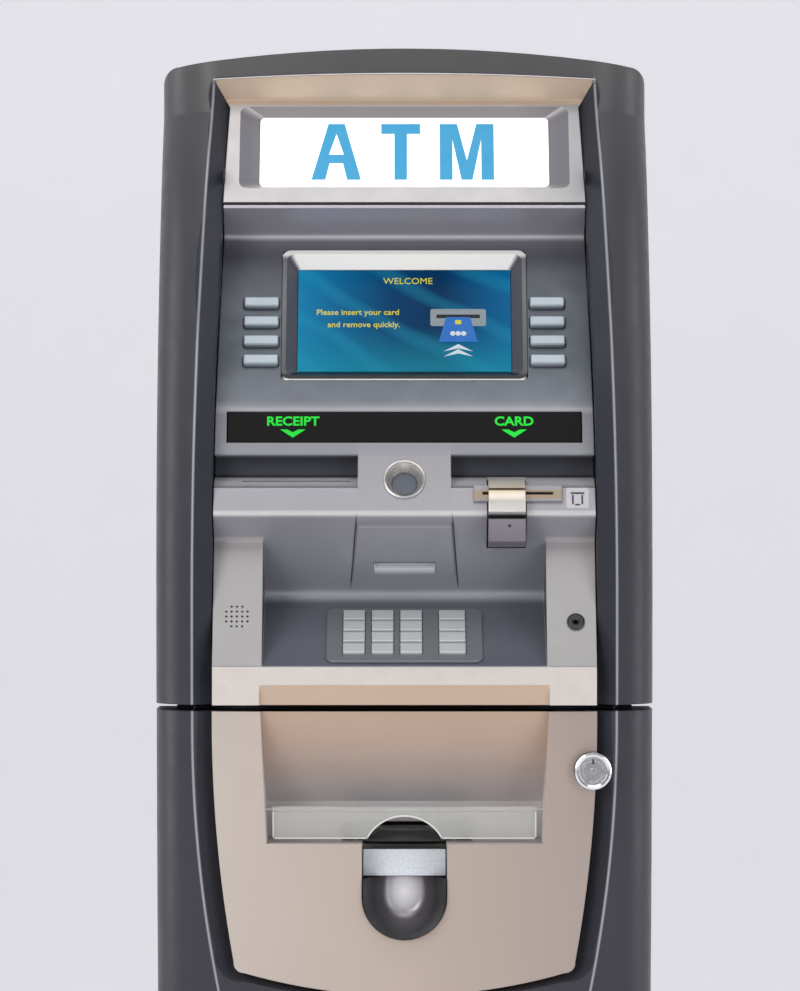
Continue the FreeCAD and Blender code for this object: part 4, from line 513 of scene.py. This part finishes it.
def plate(name, face, outlines, thick, body, material, w=0.0002):
    """Flat shapes on a face, each an outline of (u, v) points, raised by thick."""
    bm = bmesh.new()
    for outline in outlines:
        base = [bm.verts.new(face.at(u, v, w)) for u, v in outline]
        top = [bm.verts.new(face.at(u, v, w + thick)) for u, v in outline]
        bm.faces.new(top)
        bm.faces.new(list(reversed(base)))
        for i in range(len(outline)):
            j = (i + 1) % len(outline)
            bm.faces.new((base[i], base[j], top[j], top[i]))
    bmesh.ops.recalc_face_normals(bm, faces=bm.faces)
    mesh = bpy.data.meshes.new(name)
    bm.to_mesh(mesh)
    bm.free()
    return piece(name, mesh, body, material)


def oblong(width, height, u=0.0, v=0.0, radius=0.0, steps=6):
    """A rectangle, its corners rounded."""
    radius = max(radius, 1e-5)
    points = []
    for cu, cv, start in ((1, 1, 0), (-1, 1, 90), (-1, -1, 180), (1, -1, 270)):
        for i in range(steps + 1):
            angle = math.radians(start + 90 * i / steps)
            points.append((
                u + cu * (width / 2 - radius) + radius * math.cos(angle),
                v + cv * (height / 2 - radius) + radius * math.sin(angle),
            ))
    return points


def disc(radius, u=0.0, v=0.0, steps=40):
    return [
        (u + radius * math.cos(2 * math.pi * i / steps), v + radius * math.sin(2 * math.pi * i / steps))
        for i in range(steps)
    ]


def lettering(name, text, size, face, body, material, u=0.0, v=0.0, w=0.0002, weight=0.0, wide=1.0):
    """Raised generic lettering, centred on a point of a face."""
    curve = bpy.data.curves.new(name, "FONT")
    curve.body = text
    curve.size = size
    curve.offset = weight
    curve.extrude = 0.00012
    curve.align_x = "CENTER"
    curve.align_y = "CENTER"
    curve.resolution_u = 3
    temp = bpy.data.objects.new(name + "_curve", curve)
    bpy.context.scene.collection.objects.link(temp)
    mesh = bpy.data.meshes.new_from_object(temp)
    bpy.data.objects.remove(temp)
    mesh.transform(face.matrix(u, v, w) @ Matrix.Diagonal((wide, 1, 1, 1)))
    return piece(name, mesh, body, material)


# ------------------------------------------------------------------ sign

SIGN_TILT = 32.7
sign = Face("sign_lens", SIGN_TILT, 0.003)


def sign_letters():
    low, high, stroke = -0.0241, 0.0241, 0.0105
    up = (high - low) / math.cos(math.radians(SIGN_TILT)) / 2
    low, high = -up, up
    a_half, a_bar = 0.0205, low + 0.017
    slope = (a_half - 0.0065) / (high - low)

    def a_edge(v):
        return a_half - slope * (v - low)

    a_outline = [
        (-a_edge(low), low), (-a_edge(low) + 0.0115, low), (-a_edge(a_bar) + 0.0108, a_bar),
        (a_edge(a_bar) - 0.0108, a_bar), (a_edge(low) - 0.0115, low), (a_edge(low), low),
        (0.0068, high), (-0.0068, high),
    ]
    hole = [(-0.0062, a_bar + 0.0085), (0.0062, a_bar + 0.0085), (0.0, high - 0.010)]
    a_shape = [
        a_outline[:3] + [hole[0], hole[2]] + [(0.0, high), (-0.0068, high)],
        [a_outline[3], a_outline[4], a_outline[5], (0.0068, high), (0.0, high), hole[2], hole[1]],
        [a_outline[2], a_outline[3], hole[1], hole[0]],
    ]
    t_half, bar = 0.0163, high - stroke * 0.95
    t_shape = [[
        (-stroke / 2, low), (stroke / 2, low), (stroke / 2, bar), (t_half, bar),
        (t_half, high), (-t_half, high), (-t_half, bar), (-stroke / 2, bar),
    ]]
    m_half = 0.0225
    m_shape = [[
        (-m_half, low), (-m_half, high), (-m_half + 0.0145, high), (0.0, low + 0.0195),
        (m_half - 0.0145, high), (m_half, high), (m_half, low), (m_half - stroke, low),
        (m_half - stroke, high - 0.0155), (0.0046, low), (-0.0046, low),
        (-m_half + stroke, high - 0.0155), (-m_half + stroke, low),
    ]]
    for name, shape, at in (("sign_letter_a", a_shape, -0.0565), ("sign_letter_t", t_shape, -0.003),
                            ("sign_letter_m", m_shape, 0.0520)):
        outlines = [[(u + at, v) for u, v in part] for part in shape]
        plate(name, sign, outlines, 0.0006, "head_door", M["blue_letter"])


sign_letters()


# ------------------------------------------------------------------ screen

lcd = Face("lcd_module", 30, 0.009)
LCD_W, LCD_H = 0.177, 0.0996


def display_picture():
    """The lit picture: deep blue shading to bright at the left, with soft sweeps of light."""
    made = Shader("display_picture").set(Roughness=0.25)
    x = made.axis("X")
    base = made.ramp(x, [
        (-0.089, srgb(20, 126, 172)), (-0.05, srgb(6, 96, 142)), (-0.01, srgb(0, 60, 104)),
        (0.03, srgb(0, 46, 86)), (0.089, srgb(4, 98, 150)),
    ], -0.09, 0.09)
    sweep = made.node("ShaderNodeTexWave", wave_type="BANDS", bands_direction="DIAGONAL")
    for key, value in (("Scale", 9.0), ("Distortion", 5.0), ("Detail", 2.0), ("Detail Scale", 0.6)):
        sweep.inputs[key].default_value = value
    made.link(made.coords, sweep.inputs["Vector"])
    light = made.spread(sweep.outputs["Fac"], 0.0, 0.28, 0.6, 1.0)
    colour = made.mix(light, base, srgb(34, 150, 186))
    foot = made.spread(made.axis("Z"), 0.6, 0.0, 1.152, 1.186)
    colour = made.mix(foot, colour, srgb(24, 142, 168))
    made.grain(colour, 0.03, 4000.0, 0.04).emit(0.95, srgb(4, 10, 16)).set(Specular_IOR_Level=0.04)
    return made.material


plate("display_image", lcd, [oblong(LCD_W - 0.001, LCD_H - 0.001)], 0.0003, "head_door", display_picture())
for name, text, size, u, v, weight in (
    ("display_title", "WELCOME", 0.0085, 0.003, 0.0385, 0.0),
    ("display_line_1", "Please insert your card", 0.0074, -0.0385, 0.008, 0.00008),
    ("display_line_2", "and remove quickly.", 0.0074, -0.0335, -0.004, 0.00008),
):
    lettering(name, text, size, lcd, "head_door", M["yellow_lit"], u, v, 0.0006, weight)


def display_icon():
    """Card going into a slot, drawn on the display."""
    under = srgb(8, 12, 16)
    grey = glow("icon_grey", srgb(150, 160, 168), 0.8, 0.03, under)
    dark = glow("icon_dark", srgb(20, 26, 36), 0.5, 0.03, under)
    blue = glow("icon_blue", srgb(36, 116, 206), 0.8, 0.03, under)
    white = glow("icon_white", srgb(216, 228, 236), 0.85, 0.03, under)
    u, v = 0.0445, 0.003
    body = "head_door"
    plate("icon_slot", lcd, [oblong(0.046, 0.0165, u, v, 0.002)], 0.0002, body, grey, w=0.0006)
    plate("icon_gap", lcd, [oblong(0.036, 0.0034, u, v + 0.001)], 0.0002, body, dark, w=0.0009)
    card = [(u - 0.010, v), (u + 0.010, v), (u + 0.016, v - 0.024), (u - 0.016, v - 0.024)]
    plate("icon_card", lcd, [card], 0.0002, body, blue, w=0.0012)
    chip = oblong(0.005, 0.004, u, v - 0.005, 0.0006)
    plate("icon_chip", lcd, [chip], 0.0001, body, M["yellow_lit"], w=0.0015)
    dots = [disc(0.0022, u + x, v - 0.016, 18) for x in (-0.0045, 0, 0.0045)]
    plate("icon_marks", lcd, dots, 0.0001, body, white, w=0.0015)
    plate("icon_arrows", lcd, [
        [(u, v - 0.026 - s), (u + 0.012, v - 0.033 - s), (u, v - 0.030 - s), (u - 0.012, v - 0.033 - s)]
        for s in (0, 0.005)
    ], 0.0002, body, white, w=0.0009)


display_icon()


# ------------------------------------------------------------------ guide strip and pictogram

PANEL_TILT = 24
strip = Face("guide_strip", PANEL_TILT, 0.003)
for label, text, u in (("receipt", "RECEIPT", -0.0910), ("card", "CARD", 0.0895)):
    lettering(f"guide_{label}", text, 0.0112, strip, "head_door", M["green_lit"], u, 0.0052, 0.0002, 0.0003,
              1.05)
    arrow = [(u - 0.0102, -0.0020), (u - 0.0046, -0.0020), (u, -0.0046), (u + 0.0046, -0.0020),
             (u + 0.0102, -0.0020), (u, -0.0092)]
    plate(f"guide_arrow_{label}", strip, [arrow], 0.00025, "head_door", M["green_lit"])


# ------------------------------------------------------------------ keys

def key_marks():
    lean = math.degrees(math.atan2(0.097, 0.054))
    functions = {"cancel": ("X", "red_fill"), "clear": ("<", "yellow_fill"), "enter": ("O", "green_fill"),
                 "left": ("<", "engrave"), "right": (">", "engrave"), "blank": (None, None)}
    for name in KEYS:
        cap = name[4:]
        top = Face(name, lean, 0.008)
        if cap.isdigit():
            lettering(f"mark_{cap}", cap, 0.0088, top, name, M["engrave"], -0.003, 0.0015, 0.00005, 0.00012)
            dash = oblong(0.0042, 0.0008, 0.0045, -0.0038)
            plate(f"mark_{cap}_dot", top, [dash], 0.0001, name, M["engrave"], 0.00005)
            continue
        symbol, fill = functions[cap]
        if symbol is None:
            dash = oblong(0.007, 0.0009)
            plate(f"mark_{cap}", top, [dash], 0.0001, name, M["engrave"], 0.00005)
            continue
        lettering(f"mark_{cap}", symbol, 0.0080, top, name, M[fill], 0.0, 0.0, 0.00005, 0.0003)


key_marks()


# ------------------------------------------------------------------ small fittings

def flat(node):
    """An upright frame through the middle of a node's box, facing the customer."""
    return Face(node, 0, 0)


def fittings():
    """Camera iris, the lamp on the card guide and the pictogram beside the card slot."""
    iris = disc(0.0097, 0.0, -0.0026)
    plate("camera_iris", Face("camera_port", PANEL_TILT, 0), [iris], 0.0004, "head_door", M["iris"],
          0.0022)
    low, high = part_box("card_bezel")
    nose = Face("card_bezel", 0, high.y - low.y)
    lamp = disc(0.0011, 0.085 - (low.x + high.x) / 2, 1.0215 - (low.z + high.z) / 2, 18)
    plate("reader_led", nose, [lamp], 0.0006, "head_door", M["led"], -0.0018)
    right, down = 0.1403, -0.0632
    ground = oblong(0.0180, 0.0180, right, down, 0.001)
    plate("pictogram_ground", strip, [ground], 0.0002, "head_door", M["label"], 0.0004)
    lines = [
        oblong(0.0110, 0.0014, right, down + 0.0042), oblong(0.0014, 0.0080, right - 0.0038, down - 0.0015),
        oblong(0.0014, 0.0080, right + 0.0038, down - 0.0015), oblong(0.0040, 0.0012, right, down - 0.0060),
    ]
    plate("pictogram_lines", strip, lines, 0.0002, "head_door", M["engrave"], 0.0007)


def keyhole():
    """Dark slot in the face of the cover lock."""
    low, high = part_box("cover_lock_plug")
    face = Face("cover_lock_plug", 0, high.y - low.y)
    plate("lock_keyhole", face, [oblong(0.0016, 0.0070)], 0.0002, "cover_lock_plug", M["engrave"], w=0.0001)


def nozzle():
    """Black outlet in the floor of the tray, wider at its foot."""
    guard_back, foot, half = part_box("note_guard")[1].y, 0.7655, 0.0336
    back, front = guard_back + 0.046, guard_back + 0.003
    levels = [(half, foot, front), (0.0330, 0.7672, front - 0.0006), (0.0205, 0.7742, front + 0.004),
              (0.0194, 0.7748, front + 0.006), (0.0188, 0.7748, back)]
    bm = bmesh.new()
    rows = [[bm.verts.new((s * reach, y, z)) for s in (-1, 1)] for reach, z, y in levels]
    rows.append([bm.verts.new((s * half, back, foot)) for s in (-1, 1)])
    for a, b in zip(rows, rows[1:]):
        bm.faces.new((a[0], a[1], b[1], b[0]))
    bm.faces.new([r[0] for r in rows])
    bm.faces.new([r[1] for r in reversed(rows)])
    bm.faces.new((rows[-1][0], rows[-1][1], rows[0][1], rows[0][0]))
    bmesh.ops.recalc_face_normals(bm, faces=bm.faces)
    mesh = bpy.data.meshes.new("note_nozzle")
    bm.to_mesh(mesh)
    bm.free()
    piece("note_nozzle", mesh, "lower_cover", M["black"])


def finger_cup():
    """Concave lining of the finger pocket, with a brushed band across its top."""
    half, centre, foot, top = 0.0336, 0.721, 0.6874, 0.7365
    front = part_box("front_shield")[0].y + 0.0035
    deep = front + 0.036
    columns, rows = 28, 30
    verts = []
    for j in range(rows + 1):
        z = foot + (top - foot) * (j / rows) ** 1.3
        wide = math.sqrt(max(half ** 2 - min(0.0, z - centre) ** 2, 1e-8))
        for i in range(columns + 1):
            x = wide * math.sin(math.pi * (i / columns - 0.5))
            edge = half - math.hypot(x, min(0.0, z - centre))
            share = min(1.0, max(0.0, edge) / 0.022)
            verts.append((x, front + (deep - front) * math.sin(share * math.pi / 2) ** 0.8, z))
    faces = []
    for j in range(rows):
        for i in range(columns):
            a = j * (columns + 1) + i
            faces.append((a, a + 1, a + columns + 2, a + columns + 1))
    mesh = bpy.data.meshes.new("finger_cup")
    mesh.from_pydata(verts, [], faces)
    piece("finger_cup", mesh, "lower_cover", M["cup"], True)
    band_face = flat("note_guard")
    z = band_face.origin.z
    plate("pocket_band", band_face, [oblong(0.0666, 0.0215, 0.0, 0.7478 - z, 0.0006)], 0.0012, "lower_cover",
          M["cup_band"], -0.0175)


def guard_edges():
    """Painted highlights along the cut edges of the clear guard: its foot, the arch in its middle and its
    ends.
    """
    face = flat("note_guard")
    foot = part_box("note_guard")[0].z - face.origin.z
    radius, drop, end, tall, thin = 0.034, 0.016, 0.1068, 0.022, 0.0012
    start = math.sqrt(radius ** 2 - drop ** 2)

    def arc(reach, angles):
        turns = [math.radians(a) for a in angles]
        return [(reach * math.cos(t), foot - drop + reach * math.sin(t)) for t in turns]

    strips = [arc(radius, range(28, 153, 4)) + arc(radius + 0.0013, range(152, 27, -4))]
    for side in (-1, 1):
        for inner, top in ((start, foot + thin), (end - thin, foot + tall)):
            strips.append([(side * inner, foot), (side * end, foot), (side * end, top), (side * inner, top)])
    plate("guard_edge_highlights", face, strips, 0.0004, "note_guard", M["guard_edge"], 0.0014)


fittings()
keyhole()
nozzle()
finger_cup()
guard_edges()


# ------------------------------------------------------------------ stage

def backdrop():
    """Pale floor that sweeps up into the wall behind."""
    profile = [(-7.0, 0.0), (5.5, 0.0)]
    for a in range(6, 91, 6):
        turn = math.radians(a)
        profile.append((5.5 + 2.0 * math.sin(turn), 2.0 - 2.0 * math.cos(turn)))
    profile += [(7.5, 7.0)]
    verts = [(x, y, z) for y, z in profile for x in (-9.0, 9.0)]
    faces = [(2 * i, 2 * i + 1, 2 * i + 3, 2 * i + 2) for i in range(len(profile) - 1)]
    mesh = bpy.data.meshes.new("backdrop")
    mesh.from_pydata(verts, [], faces)
    for polygon in mesh.polygons:
        polygon.use_smooth = True
    made = Shader("backdrop_paper").set(Roughness=0.9)
    made.grain(srgb(226, 225, 228), 0.01, 30.0, 0.01)
    made.bsdf.inputs["Emission Color"].default_value = srgb(236, 235, 240)
    made.bsdf.inputs["Emission Strength"].default_value = 0.4
    mesh.materials.append(made.material)
    obj = bpy.data.objects.new("backdrop", mesh)
    bpy.context.scene.collection.objects.link(obj)


def softbox(name, place, target, size, energy, colour=(1, 1, 1)):
    light = bpy.data.lights.new(name, "AREA")
    light.shape = "RECTANGLE"
    light.size, light.size_y = size
    light.energy = energy
    light.color = colour
    obj = bpy.data.objects.new(name, light)
    obj.location = place
    obj.rotation_euler = (Vector(target) - Vector(place)).to_track_quat("-Z", "Y").to_euler()
    bpy.context.scene.collection.objects.link(obj)


backdrop()
softbox("key_light", (-1.9, -3.6, 2.3), (0, 0, 1.0), (1.6, 2.2), 52, (1.0, 0.985, 0.96))
softbox("fill_light", (2.3, -3.4, 1.5), (0, 0, 1.0), (1.4, 2.4), 24, (0.97, 0.98, 1.0))
softbox("top_light", (0, -1.2, 3.4), (0, -0.1, 1.2), (2.4, 1.4), 24)
softbox("left_rim", (-2.6, 0.2, 1.4), (0, 0, 1.1), (0.8, 2.4), 18)
softbox("right_rim", (2.6, 0.2, 1.4), (0, 0, 1.1), (0.8, 2.4), 14)

world = bpy.data.worlds.new("studio")
world.use_nodes = True
world.node_tree.nodes["Background"].inputs["Color"].default_value = srgb(225, 226, 232)
world.node_tree.nodes["Background"].inputs["Strength"].default_value = 0.45
bpy.context.scene.world = world
bpy.context.scene.view_settings.view_transform = "Standard"

CAMERA_DISTANCE, CAMERA_HEIGHT = 4.0, 1.046
camera = bpy.data.cameras.new("camera")
camera.sensor_fit = "VERTICAL"
camera.sensor_height = 36.0
camera.lens = 180.5
camera.clip_end = 60.0
view = bpy.data.objects.new("camera", camera)
view.location = (-0.0036, cad_box[0][1] - CAMERA_DISTANCE, CAMERA_HEIGHT)
view.rotation_euler = (math.pi / 2, 0, 0)
bpy.context.scene.collection.objects.link(view)
bpy.context.scene.camera = view
